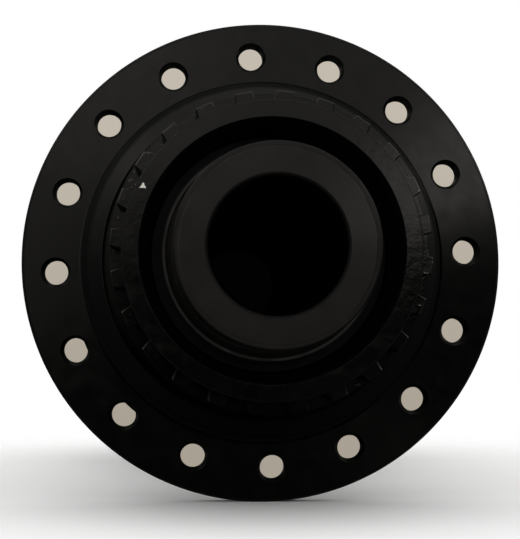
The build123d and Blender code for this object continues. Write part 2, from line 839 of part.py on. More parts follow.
def main():
    """Write every piece of the hub."""
    os.makedirs("parts", exist_ok=True)
    write("axle_tube", axle_tube())
    write("disc_end_cap", disc_end_cap())
    write("drive_end_cap", drive_end_cap())
    write("disc_cap_o_ring", Rot(HALF_TURN, 0, 0) * o_ring())
    write("drive_cap_o_ring", o_ring())
    write("drive_side_spacer", axle_spacer(drive_bearing_outboard, inner_freehub_bearing))
    write("freehub_spacer", axle_spacer(
        inner_freehub_bearing + small_bearing.width, outer_freehub_bearing))
    write("hub_shell", hub_shell())
    write("ratchet_ring", ratchet_ring())
    write_bearing("disc_bearing", small_bearing, disc_bearing_outboard)
    write_bearing("drive_bearing", large_bearing, drive_bearing_inboard)
    write_bearing("freehub_inner_bearing", small_bearing, inner_freehub_bearing)
    write_bearing("freehub_outer_bearing", large_bearing, outer_freehub_bearing)
    write("cassette_body", freehub_body())
    write("freehub_lip_seal", lip_seal())
    write("bearing_snap_ring", snap_ring())
    write("pawl_springs", pawl_springs())
    for index, angle in enumerate(pawl_angles()):
        write("pawl_" + str(index + 1), pawl(angle))


main()
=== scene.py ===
import itertools
import math

import bmesh
import bpy
from bpy.props import FloatProperty, FloatVectorProperty, IntProperty, PointerProperty
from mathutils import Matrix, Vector


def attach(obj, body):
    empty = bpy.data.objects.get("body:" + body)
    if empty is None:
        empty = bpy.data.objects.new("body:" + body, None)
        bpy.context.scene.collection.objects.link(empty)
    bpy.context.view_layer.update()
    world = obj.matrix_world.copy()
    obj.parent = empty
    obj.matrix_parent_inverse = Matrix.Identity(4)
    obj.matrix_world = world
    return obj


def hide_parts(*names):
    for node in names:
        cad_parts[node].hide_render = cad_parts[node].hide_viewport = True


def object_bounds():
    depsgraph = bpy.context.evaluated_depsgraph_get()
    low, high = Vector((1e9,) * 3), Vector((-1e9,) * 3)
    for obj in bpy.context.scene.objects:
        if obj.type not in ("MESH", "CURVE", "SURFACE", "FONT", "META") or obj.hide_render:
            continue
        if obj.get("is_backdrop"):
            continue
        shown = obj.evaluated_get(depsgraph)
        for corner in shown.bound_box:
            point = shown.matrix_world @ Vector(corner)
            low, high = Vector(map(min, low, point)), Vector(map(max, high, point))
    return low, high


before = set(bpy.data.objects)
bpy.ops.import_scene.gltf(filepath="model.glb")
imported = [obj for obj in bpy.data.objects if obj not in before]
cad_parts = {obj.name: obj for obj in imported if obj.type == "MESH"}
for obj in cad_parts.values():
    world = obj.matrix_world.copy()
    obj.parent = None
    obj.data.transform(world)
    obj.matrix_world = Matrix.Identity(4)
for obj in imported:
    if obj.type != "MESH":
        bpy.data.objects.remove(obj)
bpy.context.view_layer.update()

bl_info = {
    "name": "Bicycle rear hub looks",
    "version": (1, 0, 0),
    "blender": (4, 5, 0),
    "location": "View3D > Sidebar > Hub",
    "description": "Dresses the packed rear hub: shell, rotor mount, caps, finishes and stage",
    "category": "Object",
}

MM = 0.001

# The hub turns about Y, with the disc side at negative stations. Sizes are in millimetres.

# Rotor mount, from the mouth back to the disc flange
MOUTH_R, MOUTH_CHAMFER = 12.76, 0.08
THREAD_ROOT_R, THREAD_RELIEF = 13.28, 0.5
NOSE_R, NOSE_END, NOSE_CHAMFER = 14.5, -61.0, 0.15
SEAT_R, SEAT_Y = 16.1, -53.0
GROOVE_FLOOR_Y = -38.4
FOOT_R, FOOT_Y = 17.3, -40.3
EDGE_R, EDGE_Y, EDGE_BEVEL = 19.0, -37.4, 0.18
NECK_FILLET = 1.15

# Flanges, barrel and drum
FLANGE_FACE, FLANGE_BACK = -34.0, -31.0
BARREL_R, WAIST_R, WAIST_Y = 15.3, 14.2, -6.2
BARREL_ROOT, BARREL_FILLET = 7.0, 3.0
DRIVE_BACK, DRIVE_FACE = 18.6, 21.6
DRUM_R, DRUM_END, DRUM_BEVEL, DRUM_FILLET = 19.01, 28.8, 0.4, 0.8
DRUM_BORE, DRUM_FLOOR = 17.21, 20.0
DRIVE_POCKET_R, DRIVE_POCKET_END, DRIVE_SHOULDER_R = 14.01, 12.5, 12.6
CAVITY_R, CAVITY_START, CAVITY_END = 11.8, -43.7, 9.2
DISC_SHOULDER_R, DISC_LAND, DISC_POCKET_R = 10.6, -45.2, 12.01
DISC_POCKET_START, DISC_POCKET_END = -52.5, -47.0
DRIVE_LAND = 10.7

# Spoke holes: a straight bore with a countersink at each side
HOLE_R, SINK_R, SINK_DEPTH = 1.35, 1.66, 0.45
DISC_HOLE_CIRCLE, DRIVE_HOLE_CIRCLE = 22.75, 21.21
HOLE_PHASE, HOLE_STEPS = 19.5, 48

# Ribs of the rotor mount
RIB_START, RIB_ROOT_R, RIB_TIP_R = -58.7, 14.5, 15.7
RIB_FOOT_WIDTH, RIB_TIP_WIDTH, RIB_PHASE = 2.13, 1.70, 5.0
RIB_SUNK, RIB_ROUNDING, RIB_LEAD_IN = 0.05, 0.12, 0.3
RIB_STEPS, RIB_LEAD_SHARE = 17, 0.88

# Rotor lockring thread
ROTOR_THREAD_START, ROTOR_THREAD_END, THREAD_RIDGE = -60.4, -53.0, 0.35
THREAD_STEPS = 96

# The axle's bore, how far past its wall a face may lie and still belong to it, and the radii
# between which the painted shade inside it fades
BORE_R, BORE_WALL = 6.08, 0.2
BORE_SHADE_RADII = (BORE_R + 0.3, BORE_R + 0.5)

# Inner radius, outer radius and station of each clear pane
PANES = ((21.0, 25.5, -32.5), (0.001, 6.6, -30.0), (0.001, 6.6, 30.0))

# The nick in the nose's edge: its place, the way each side faces in degrees, and its reach
NICK, NICK_SIDES, NICK_REACH = (-12.40, -61.0, 6.10), (20.0, 140.0, 265.0), (0.25, 0.31)

# Edges sharper than this many degrees stay crisp, and points nearer than the weld merge. A face
# is flat where its normal lies this far along the axis, and it belongs to the part of the shell
# whose limit it passes by no more than the slack, across and along the axis.
SHARP_DEGREES, WELD = 28.0, 0.0005
FLAT_FACE, SLACK_R, SLACK_Y = 0.9999, 0.1, 0.01

# A window is (opens, full, fades, closed). These two pick out slopes and corners by how square to
# the axis a face is (1 for a flat face, 0 for a wall). Old grease makes those this rough.
SHELL_SLOPE, CAP_SLOPE, GREASE = (0.05, 0.2, 0.92, 0.99), (0.05, 0.2, 0.9, 0.99), 0.7

# Where on the collar the rubbed rib corners and bare flecks also get a painted highlight: windows
# of the clock, in radians from the top towards +X, and the radii between which the bare flecks come
# up
LIT_RUB_CLOCKS = ((0.8, 1.15, 1.9, 2.3), (-1.45, -1.15, -0.5, -0.2))
FLECK_RADII = (14.2, 14.9)

# Radii of the cap's thin dust lip, where a painted highlight goes, and the stations where its front
# ends, and radii, pitch and depth of the cassette's lockring thread
LIP_RADII, LIP_STATIONS = (10.3, 10.45, 10.75, 10.85), (-56.0, -55.8)
CASSETTE_THREAD_RADII, CASSETTE_THREAD_PITCH, CASSETTE_THREAD_DEPTH = (
    (14.2, 14.4, 14.95, 15.1), 1.0, 0.16)

# Bright fields of the room, which only reflections see, in radians. The clock runs round the hub's
# axis from the top towards +X, and the polar angle is 0 at -Y.
TOP_CLOCK, RIGHT_CLOCK = (-2.2, -1.2, 1.12, 1.25), (0.72, 0.98, 1.12, 1.25)
LEFT_CLOCK, LOW_CLOCK = (-0.9, -0.7, -0.15, 0.25), (1.9, 2.1, 2.2, 2.4)
FRONT_POLAR, BACK_POLAR, BACK_SHARE = (0.05, 0.13, 0.36, 0.56), (2.45, 2.6, 2.8, 2.95), 0.8
CEILING_CLOCK, SIDE_POLAR = (-1.7, -0.9, 1.0, 1.7), (1.1, 1.4, 2.35, 2.55)
STRIP_CLOCK, FAINT_STRIP_CLOCK, FAINT_STRIP = (
    (0.95, 1.02, 1.12, 1.2), (-1.0, -0.9, -0.8, -0.7), 0.4)

# The room's even light: its shares low and high, and how high up each is reached
ROOM_HEIGHTS, ROOM_SHARES = (-0.5, 0.9), (0.75, 1.25)

# How far up and down the painted shade behind the spoke holes, a warm grey, goes from its low to
# its high tone
HOLE_SHADE_REACH = 0.12

# The floor reaches this many metres, and fades to the eye between these distances in millimetres
FLOOR_REACH, FLOOR_FADE = 2.0, (40.0, 110.0)

# The lamp over the hub: its angle from -Y in degrees, its distance and size in metres
LAMP_POLAR, LAMP_DISTANCE, LAMP_SIZE = 92.0, 0.8, 0.6

# The setting of each map range that eases in and out
SMOOTH = {"interpolation_type": "SMOOTHSTEP"}


def srgb(hex_colour):
    """A colour written as six hex digits, turned to the linear values that a shader takes."""
    values = [int(hex_colour[place:place + 2], 16) / 255 for place in (0, 2, 4)]
    return [v / 12.92 if v <= 0.04045 else ((v + 0.055) / 1.055) ** 2.4 for v in values] + [1.0]


def feed(node, links):
    """Gives a node's inputs their values or links: by name, or in order in a list, where inputs
    that are switched off don't count. A node among them stands for its first live output."""
    if isinstance(links, dict):
        pairs = [(node.inputs[key], value) for key, value in links.items()]
    else:
        pairs = zip([socket for socket in node.inputs if socket.enabled], links)
    for socket, value in pairs:
        if isinstance(value, bpy.types.Node):
            value = next(output for output in value.outputs if output.enabled)
        if isinstance(value, bpy.types.NodeSocket):
            node.id_data.links.new(value, socket)
        else:
            socket.default_value = value


def add_node(tree, kind, links=(), **settings):
    """One node with its settings and its input values or links, as feed takes them."""
    node = tree.nodes.new(kind)
    for key, value in settings.items():
        setattr(node, key, value)
    feed(node, links)
    return node


def add_object(name, data):
    """An object in the scene, at the origin, that holds the data."""
    item = bpy.data.objects.new(name, data)
    bpy.context.scene.collection.objects.link(item)
    return item


# ---- Materials --------------------------------------------------------------------------------
# In a list, a noise takes its place, cells per millimetre, detail and roughness, a map range its
# value, old range and new range, and a mix its share and two colours.


def empty_tree(holder):
    """The node tree of a material or world, with nothing in it."""
    holder.use_nodes = True
    holder.node_tree.nodes.clear()
    return holder.node_tree


def new_material(name, rough, metallic=0.0, ior=None, anisotropic=None):
    """An empty material with its shader and output; returns the material, its tree and shader."""
    material = bpy.data.materials.new(name)
    tree = empty_tree(material)
    shader = add_node(tree, "ShaderNodeBsdfPrincipled", {"Roughness": rough, "Metallic": metallic})
    if ior is not None:
        feed(shader, {"IOR": ior})
    if anisotropic is not None:
        feed(shader, {"Anisotropic": anisotropic, "Anisotropic Rotation": 0.25})
    add_node(tree, "ShaderNodeOutputMaterial", {"Surface": shader})
    return material, tree, shader


def object_place(tree):
    """Object coordinates in millimetres."""
    place = add_node(tree, "ShaderNodeTexCoord").outputs["Object"]
    return add_node(tree, "ShaderNodeVectorMath", [place, 1 / MM], operation="SCALE")


def window(tree, value, opens, full, fades, closed):
    """A share that rises from opens to full and falls from fades to closed."""
    rise = add_node(tree, "ShaderNodeMapRange", [value, opens, full], **SMOOTH)
    fall = add_node(tree, "ShaderNodeMapRange", [value, fades, closed, 1.0, 0.0], **SMOOTH)
    return add_node(tree, "ShaderNodeMath", [rise, fall], operation="MULTIPLY")


def axis_distance(tree, place):
    """Distance from the hub's axis in millimetres."""
    flat = add_node(tree, "ShaderNodeVectorMath", [place, (1, 0, 1)], operation="MULTIPLY")
    return add_node(tree, "ShaderNodeVectorMath", [flat], operation="LENGTH")


def hub_clock(tree, place):
    """The angle round the hub's axis in radians, from the top towards +X."""
    parts = add_node(tree, "ShaderNodeSeparateXYZ", [place]).outputs
    return add_node(tree, "ShaderNodeMath", [parts[0], parts[2]], operation="ARCTAN2")


def facing_share(tree):
    """1 on faces square to the axis, 0 on walls along it."""
    normal = add_node(tree, "ShaderNodeTexCoord").outputs["Normal"]
    along = add_node(tree, "ShaderNodeSeparateXYZ", [normal]).outputs[1]
    return add_node(tree, "ShaderNodeMath", [along], operation="ABSOLUTE")


def turned_lines(tree, place, spacing, depth):
    """The rings that a lathe tool leaves, as a bump: they follow the radius on a face and the
    station on a wall. Returns the bumped normal."""
    station = add_node(tree, "ShaderNodeSeparateXYZ", [place]).outputs[1]
    run = add_node(tree, "ShaderNodeMath", [axis_distance(tree, place), station], operation="ADD")
    row = add_node(tree, "ShaderNodeTexNoise", [run, 1 / spacing, 3.0, 0.65], noise_dimensions="1D")
    return add_node(tree, "ShaderNodeBump",
                    {"Strength": 1.0, "Distance": depth * MM, "Height": row})


def round_tangent(tree, place):
    """The direction round the hub's axis, which turned surfaces stretch their highlights across."""
    parts = add_node(tree, "ShaderNodeSeparateXYZ", [place]).outputs
    back = add_node(tree, "ShaderNodeMath", [parts[0], -1.0], operation="MULTIPLY")
    turn = add_node(tree, "ShaderNodeCombineXYZ", {"X": parts[2], "Z": back})
    way = add_node(tree, "ShaderNodeVectorMath", [turn], operation="NORMALIZE")
    return add_node(tree, "ShaderNodeVectorTransform", [way], vector_type="VECTOR",
                    convert_from="OBJECT", convert_to="WORLD")


def edge_wear(tree, place, reach, low, high):
    """How far a point is rubbed bare: edges within reach millimetres, broken up by grit."""
    soft = add_node(tree, "ShaderNodeBevel", {"Radius": reach * MM}, samples=4)
    true = add_node(tree, "ShaderNodeNewGeometry").outputs["Normal"]
    flat = add_node(tree, "ShaderNodeVectorMath", [soft, true], operation="DOT_PRODUCT")
    sharp = add_node(tree, "ShaderNodeMath", [1.0, flat], operation="SUBTRACT")
    grit = add_node(tree, "ShaderNodeTexNoise", [place, 1.6, 4.0, 0.6])
    worn = add_node(tree, "ShaderNodeMath", [sharp, grit], operation="MULTIPLY")
    return add_node(tree, "ShaderNodeMapRange", [worn, low, high], **SMOOTH)


def nick_share(tree, place):
    """A small three-cornered patch on the nose's face where the finish is knocked off."""
    near = add_node(tree, "ShaderNodeVectorMath", [place, NICK], operation="SUBTRACT")
    far = None
    for turn in NICK_SIDES:
        side = (math.cos(math.radians(turn)), 0.0, math.sin(math.radians(turn)))
        reach = add_node(tree, "ShaderNodeVectorMath", [near, side], operation="DOT_PRODUCT")
        if far is not None:
            reach = add_node(tree, "ShaderNodeMath", [far, reach], operation="MAXIMUM")
        far = reach
    grit = add_node(tree, "ShaderNodeTexNoise", [place, 4.0, 2.0, 0.5])
    rough = add_node(tree, "ShaderNodeMath", [grit, 0.2], operation="MULTIPLY")
    edge = add_node(tree, "ShaderNodeMath", [far, rough], operation="ADD")
    return add_node(tree, "ShaderNodeMapRange", [edge, *NICK_REACH, 1.0, 0.0], **SMOOTH)


def turned_anodising():
    """Black anodised aluminium, fine-turned: a near-black dye under a hard clear oxide, so it is
    dark with grey fans of light that turn about the axis, and a few rubbed spots. Old grease takes
    the shine off its slopes and corners."""
    finish = bpy.context.scene.hub_finish
    material, tree, shader = new_material(
        "turned_black_anodising", finish.shell_roughness, ior=1.45, anisotropic=0.95)
    place = object_place(tree)
    cloud = add_node(tree, "ShaderNodeTexNoise", [place, 0.09, 3.0, 0.55])
    cloud = add_node(tree, "ShaderNodeMapRange", [cloud, 0.4, 0.75, 0.0, 0.4], **SMOOTH)
    dark = list(finish.anodised_colour) + [1.0]
    colour = add_node(tree, "ShaderNodeMix", [cloud, dark, srgb("050505")], data_type="RGBA")
    wear = edge_wear(tree, place, 0.10, 0.12, 0.34)
    wear = add_node(tree, "ShaderNodeMath", [wear, 0.10], operation="MULTIPLY")
    colour = add_node(tree, "ShaderNodeMix", [wear, colour, srgb("6e6d6a")], data_type="RGBA")
    grime = add_node(tree, "ShaderNodeTexNoise", [place, 0.5, 4.0, 0.6])
    least = finish.shell_roughness
    rough = add_node(
        tree, "ShaderNodeMapRange", [grime, 0.3, 0.75, least - 0.01, least + 0.04], **SMOOTH)
    slope = window(tree, facing_share(tree), *SHELL_SLOPE)
    greasy = add_node(tree, "ShaderNodeMath", [slope, GREASE], operation="MULTIPLY")
    rough = add_node(tree, "ShaderNodeMath", [rough, greasy], operation="MAXIMUM")
    feed(shader, {
        "Base Color": colour, "Roughness": rough,
        "Normal": turned_lines(tree, place, 0.35, 0.0012), "Tangent": round_tangent(tree, place)})
    return material


def scuffed_anodising():
    """Black anodised aluminium that rotors have been slid over: matt, with the corners of the ribs
    rubbed to a dull grey and a nick through to the metal. The rubbed corners and bare flecks carry
    a painted highlight on the right and upper left."""
    finish = bpy.context.scene.hub_finish
    material, tree, shader = new_material("scuffed_black_anodising", 0.1, ior=1.45, anisotropic=0.8)
    place = object_place(tree)
    smear = add_node(tree, "ShaderNodeTexNoise", [place, 0.7, 5.0, 0.65])
    pale = add_node(tree, "ShaderNodeMapRange", [smear, 0.5, 0.8, 0.0, 0.8], **SMOOTH)
    dark = list(finish.anodised_colour) + [1.0]
    colour = add_node(tree, "ShaderNodeMix", [pale, dark, srgb("0b0a09")], data_type="RGBA")
    # Painted highlight: the rib corners' wear and the bare flecks only come up fully in the windows
    # of the clock where light falls
    clock = hub_clock(tree, place)
    rubbed_and_lit = [window(tree, clock, *span) for span in LIT_RUB_CLOCKS]
    rubbed_and_lit = add_node(tree, "ShaderNodeMath", rubbed_and_lit, operation="ADD")
    rubbed_and_lit = add_node(tree, "ShaderNodeMapRange", [rubbed_and_lit, 0.0, 1.0, 0.07, 1.0], **SMOOTH)
    wear = edge_wear(tree, place, 0.16, 0.10, 0.30)
    wear = add_node(tree, "ShaderNodeMath", [wear, rubbed_and_lit], operation="MULTIPLY")
    wear = add_node(tree, "ShaderNodeMath", [wear, finish.rib_wear_and_glint], operation="MULTIPLY")
    colour = add_node(tree, "ShaderNodeMix", [wear, colour, srgb("7b7a75")], data_type="RGBA")
    fleck_glint = add_node(tree, "ShaderNodeTexNoise", [place, 2.2, 3.0, 0.6])
    fleck_glint = add_node(tree, "ShaderNodeMapRange", [fleck_glint, 0.66, 0.72], **SMOOTH)
    fleck_glint = add_node(tree, "ShaderNodeMath", [fleck_glint, rubbed_and_lit], operation="MULTIPLY")
    radius = axis_distance(tree, place)
    outwards = add_node(
        tree, "ShaderNodeMapRange", [radius, *FLECK_RADII, 0.0, finish.fleck_wear_and_glint], **SMOOTH)
    fleck_glint = add_node(tree, "ShaderNodeMath", [fleck_glint, outwards], operation="MULTIPLY")
    colour = add_node(tree, "ShaderNodeMix", [fleck_glint, colour, srgb("a5a49e")], data_type="RGBA")
    nick = nick_share(tree, place)
    colour = add_node(tree, "ShaderNodeMix", [nick, colour, srgb("d6d6cc")], data_type="RGBA")
    rough = add_node(tree, "ShaderNodeMapRange", [smear, 0.3, 0.8, 0.09, 0.15], **SMOOTH)
    level = facing_share(tree)
    greasy = add_node(tree, "ShaderNodeMapRange", [level, *CAP_SLOPE[2:], GREASE, 0.0], **SMOOTH)
    rough = add_node(tree, "ShaderNodeMath", [rough, greasy], operation="MAXIMUM")
    broad = add_node(tree, "ShaderNodeTexNoise", [place, 1.1, 4.0, 0.6])
    broad = add_node(tree, "ShaderNodeMath", [broad, 4.0], operation="MULTIPLY")
    fine = add_node(tree, "ShaderNodeTexNoise", [place, 5.0, 3.0, 0.6])
    scratch = add_node(tree, "ShaderNodeMath", [broad, fine], operation="ADD")
    normal = add_node(
        tree, "ShaderNodeBump", {"Strength": 0.5, "Distance": 0.0035 * MM, "Height": scratch})
    feed(shader, {"Base Color": colour, "Roughness": rough, "Normal": normal,
                  "Tangent": round_tangent(tree, place)})
    return material


def shaded_thread():
    """The threaded mouth, painted near-black as shade, with a faint mottle: nothing in it catches
    the light.
    """
    material, tree, shader = new_material("painted_shade_thread", 0.8, ior=1.2)
    shade_mottle = add_node(tree, "ShaderNodeTexNoise", [object_place(tree), 1.0, 3.0, 0.5])
    colour = add_node(
        tree, "ShaderNodeMix", [shade_mottle, srgb("020202"), srgb("060605")], data_type="RGBA")
    rough = add_node(tree, "ShaderNodeMapRange", [shade_mottle, 0.3, 0.7, 0.75, 0.9], **SMOOTH)
    feed(shader, {"Base Color": colour, "Roughness": rough})
    return material


def satin_anodising():
    """Black anodised aluminium, bead-blasted then faced: a charcoal satin, with painted shade,
    near-black, on its walls and inside the bore, where no light reaches, and a painted highlight on
    the cap's dust lip."""
    finish = bpy.context.scene.hub_finish
    material, tree, shader = new_material("satin_black_anodising", 0.13, ior=1.33, anisotropic=0.8)
    place = object_place(tree)
    haze = add_node(tree, "ShaderNodeTexNoise", [place, 0.35, 4.0, 0.6])
    pale = add_node(tree, "ShaderNodeMapRange", [haze, 0.3, 0.75], **SMOOTH)
    dark = list(finish.cap_colour) + [1.0]
    colour = add_node(tree, "ShaderNodeMix", [pale, dark, srgb("1c1a18")], data_type="RGBA")
    # Painted shade: walls along the axis are near-black, while faces square to the axis keep the
    # dye
    level = facing_share(tree)
    flat = add_node(tree, "ShaderNodeMapRange", [level, 0.5, 0.95], **SMOOTH)
    colour = add_node(tree, "ShaderNodeMix", [flat, srgb("060606"), colour], data_type="RGBA")
    radius = axis_distance(tree, place)
    station = add_node(tree, "ShaderNodeSeparateXYZ", [place]).outputs[1]
    # Painted highlight: a lighter, patchy ring on the front of the cap's dust lip
    front = add_node(tree, "ShaderNodeMapRange", [station, *LIP_STATIONS, 1.0, 0.0], **SMOOTH)
    lip_highlight = window(tree, radius, *LIP_RADII)
    lip_highlight = add_node(tree, "ShaderNodeMath", [lip_highlight, front], operation="MULTIPLY")
    patchy = add_node(tree, "ShaderNodeMapRange", [haze, 0.3, 0.6, 0.4, 1.0], **SMOOTH)
    lip_highlight = add_node(tree, "ShaderNodeMath", [lip_highlight, patchy], operation="MULTIPLY")
    colour = add_node(tree, "ShaderNodeMix", [lip_highlight, colour, srgb("3c3a38")], data_type="RGBA")
    # Painted shade: near-black inside the bore, fading out between these radii
    inside = add_node(tree, "ShaderNodeMapRange", [radius, *BORE_SHADE_RADII, 1.0, 0.0], **SMOOTH)
    colour = add_node(tree, "ShaderNodeMix", [inside, colour, srgb("010101")], data_type="RGBA")
    slope = window(tree, level, *CAP_SLOPE)
    greasy = add_node(tree, "ShaderNodeMath", [slope, GREASE], operation="MULTIPLY")
    dull = add_node(tree, "ShaderNodeMath", [inside, greasy], operation="MAXIMUM")
    rough = add_node(tree, "ShaderNodeMapRange", [dull, 0.0, 1.0, 0.13, 0.95], **SMOOTH)
    feed(shader, {
        "Base Color": colour, "Roughness": rough,
        "Normal": turned_lines(tree, place, 0.3, 0.0015), "Tangent": round_tangent(tree, place)})
    return material


def hard_anodising():
    """Hard-anodised aluminium of the cassette body: slate grey, dry to the eye, its ribs marked
    where sprockets press against them, with the lockring's thread in its mouth."""
    material, tree, shader = new_material("slate_hard_anodising", 0.45, ior=1.6)
    place = object_place(tree)
    cloud = add_node(tree, "ShaderNodeTexNoise", [place, 0.2, 4.0, 0.55])
    cloud = add_node(tree, "ShaderNodeMapRange", [cloud, 0.3, 0.75], **SMOOTH)
    colour = add_node(
        tree, "ShaderNodeMix", [cloud, srgb("26272a"), srgb("35363a")], data_type="RGBA")
    wear = edge_wear(tree, place, 0.2, 0.07, 0.28)
    wear = add_node(tree, "ShaderNodeMath", [wear, 0.6], operation="MULTIPLY")
    colour = add_node(tree, "ShaderNodeMix", [wear, colour, srgb("9a9a98")], data_type="RGBA")
    station = add_node(tree, "ShaderNodeSeparateXYZ", [place]).outputs[1]
    turns = add_node(tree, "ShaderNodeMath", [station, 2 * math.pi / CASSETTE_THREAD_PITCH],
                     operation="MULTIPLY")
    run = add_node(tree, "ShaderNodeMath", [turns, hub_clock(tree, place)], operation="ADD")
    wave = add_node(tree, "ShaderNodeMath", [run], operation="SINE")
    mouth = window(tree, axis_distance(tree, place), *CASSETTE_THREAD_RADII)
    ridge = add_node(tree, "ShaderNodeMath", [wave, mouth], operation="MULTIPLY")
    normal = add_node(tree, "ShaderNodeBump", {
        "Strength": 1.0, "Distance": CASSETTE_THREAD_DEPTH * MM, "Height": ridge,
        "Normal": turned_lines(tree, place, 0.4, 0.005)})
    feed(shader, {"Base Color": colour, "Normal": normal})
    return material


def bare_aluminium():
    """Turned bare aluminium of the inner spacers: bright, with fine rings."""
    material, tree, shader = new_material(
        "turned_bare_aluminium", 0.32, metallic=1.0, anisotropic=0.5)
    place = object_place(tree)
    cloud = add_node(tree, "ShaderNodeTexNoise", [place, 0.5, 3.0, 0.5])
    colour = add_node(
        tree, "ShaderNodeMix", [cloud, srgb("c4c5c7"), srgb("dcdddf")], data_type="RGBA")
    feed(shader, {
        "Base Color": colour, "Normal": turned_lines(tree, place, 0.25, 0.004),
        "Tangent": round_tangent(tree, place)})
    return material


def ground_steel(name, dark, pale, rough, mottle):
    """Hardened steel, ground: a clear grey with a faint oily mottle, in cells per millimetre."""
    material, tree, shader = new_material(name, rough, metallic=1.0)
    place = object_place(tree)
    oil = add_node(tree, "ShaderNodeTexNoise", [place, mottle, 4.0, 0.6])
    colour = add_node(tree, "ShaderNodeMix", [oil, srgb(dark), srgb(pale)], data_type="RGBA")
    oily = add_node(
        tree, "ShaderNodeMapRange", [oil, 0.3, 0.75, rough - 0.05, rough + 0.1], **SMOOTH)
    feed(shader, {"Base Color": colour, "Roughness": oily,
                  "Normal": turned_lines(tree, place, 0.2, 0.002)})
    return material


def moulded_rubber():
    """Moulded nitrile: soot black, matt, with a fine grain and a little dust."""
    material, tree, shader = new_material("moulded_nitrile", 0.7, ior=1.35)
    place = object_place(tree)
    dust = add_node(tree, "ShaderNodeTexNoise", [place, 1.2, 5.0, 0.65])
    dust = add_node(tree, "ShaderNodeMapRange", [dust, 0.45, 0.85, 0.0, 0.4], **SMOOTH)
    colour = add_node(
        tree, "ShaderNodeMix", [dust, srgb("060606"), srgb("171615")], data_type="RGBA")
    grain = add_node(tree, "ShaderNodeTexNoise", [place, 9.0, 2.0, 0.5])
    normal = add_node(
        tree, "ShaderNodeBump", {"Strength": 0.5, "Distance": 0.015 * MM, "Height": grain})
    feed(shader, {"Base Color": colour, "Normal": normal})
    return material


def moulded_nylon():
    """Moulded nylon of the ball cages: dark brown-black with a faint sheen."""
    material, tree, shader = new_material("moulded_nylon", 0.45, ior=1.53)
    place = object_place(tree)
    flow = add_node(tree, "ShaderNodeTexNoise", [place, 0.8, 3.0, 0.5])
    colour = add_node(
        tree, "ShaderNodeMix", [flow, srgb("1c1917"), srgb("2d2824")], data_type="RGBA")
    grain = add_node(tree, "ShaderNodeTexNoise", [place, 7.0, 2.0, 0.5])
    normal = add_node(
        tree, "ShaderNodeBump", {"Strength": 0.4, "Distance": 0.01 * MM, "Height": grain})
    feed(shader, {"Base Color": colour, "Normal": normal})
    return material


def white_floor():
    """Matt white paper that keeps the hub's soft shadow. To the eye it fades into the white
    background away from the hub, and through the panes in the holes it isn't seen."""
    material = bpy.data.materials.new("matt_white_paper")
    tree = empty_tree(material)
    place = object_place(tree)
    paper = add_node(tree, "ShaderNodeTexNoise", [place, 0.02, 3.0, 0.5])
    colour = add_node(
        tree, "ShaderNodeMix", [paper, srgb("f6f6f5"), srgb("fbfbfa")], data_type="RGBA")
    diffuse = add_node(tree, "ShaderNodeBsdfDiffuse", {"Color": colour})
    plain = add_node(tree, "ShaderNodeBsdfTransparent")
    path = add_node(tree, "ShaderNodeLightPath").outputs
    reach = add_node(tree, "ShaderNodeVectorMath", [place], operation="LENGTH")
    away = add_node(tree, "ShaderNodeMapRange", [reach, *FLOOR_FADE], **SMOOTH)
    faded = add_node(tree, "ShaderNodeMath", [away, path["Is Camera Ray"]], operation="MULTIPLY")
    lift = add_node(
        tree, "ShaderNodeMath", [path["Is Transmission Ray"], faded], operation="MAXIMUM")
    both = add_node(tree, "ShaderNodeMixShader", [lift, diffuse, plain])
    add_node(tree, "ShaderNodeOutputMaterial", {"Surface": both})
    return material


def clear_pane():
    """A pane that bends nothing. It only marks a sight line that goes through a hole, behind which
    the room shows painted shade.
    """
    material = bpy.data.materials.new("clear_pane")
    tree = empty_tree(material)
    clear = add_node(tree, "ShaderNodeBsdfRefraction",
                     {"Color": srgb("ffffff"), "Roughness": 0.0, "IOR": 1.001})
    add_node(tree, "ShaderNodeOutputMaterial", {"Surface": clear})
    return material


def bore_shade_material():
    """The axle's bore, painted near-black as shade, since it is too deep for light to reach."""
    material, _, shader = new_material("painted_shade_bore", 0.95)
    feed(shader, {"Base Color": srgb("010101"), "Specular IOR Level": 0.0})
    return material


# ---- Meshes -----------------------------------------------------------------------------------


def rounded(outline, pieces=4):
    """The outline with an arc in place of each corner that has a rounding."""
    points = []
    count = len(outline)
    for index, (radius, station, rounding) in enumerate(outline):
        corner = Vector((radius, station))
        if rounding == 0:
            points.append(corner)
            continue
        before = (Vector(outline[index - 1][:2]) - corner).normalized()
        after = (Vector(outline[(index + 1) % count][:2]) - corner).normalized()
        half = before.angle(after) / 2
        reach = rounding / math.tan(half)
        centre = corner + (before + after).normalized() * (rounding / math.sin(half))
        first = corner + before * reach - centre
        last = corner + after * reach - centre
        sweep = first.angle_signed(last)
        for step in range(pieces + 1):
            turn = -sweep * step / pieces
            points.append(centre + Vector((
                first.x * math.cos(turn) - first.y * math.sin(turn),
                first.x * math.sin(turn) + first.y * math.cos(turn))))
    return points


def cleaned(mesh):
    """The mesh with its doubles merged and its normals outwards."""
    edit = bmesh.new()
    edit.from_mesh(mesh)
    bmesh.ops.remove_doubles(edit, verts=edit.verts, dist=WELD * MM)
    bmesh.ops.recalc_face_normals(edit, faces=edit.faces)
    edit.to_mesh(mesh)
    edit.free()
    return mesh


def soften(mesh):
    """Smooth shading but for the sharp edges."""
    mesh.shade_smooth()
    mesh.set_sharp_from_angle(angle=math.radians(SHARP_DEGREES))


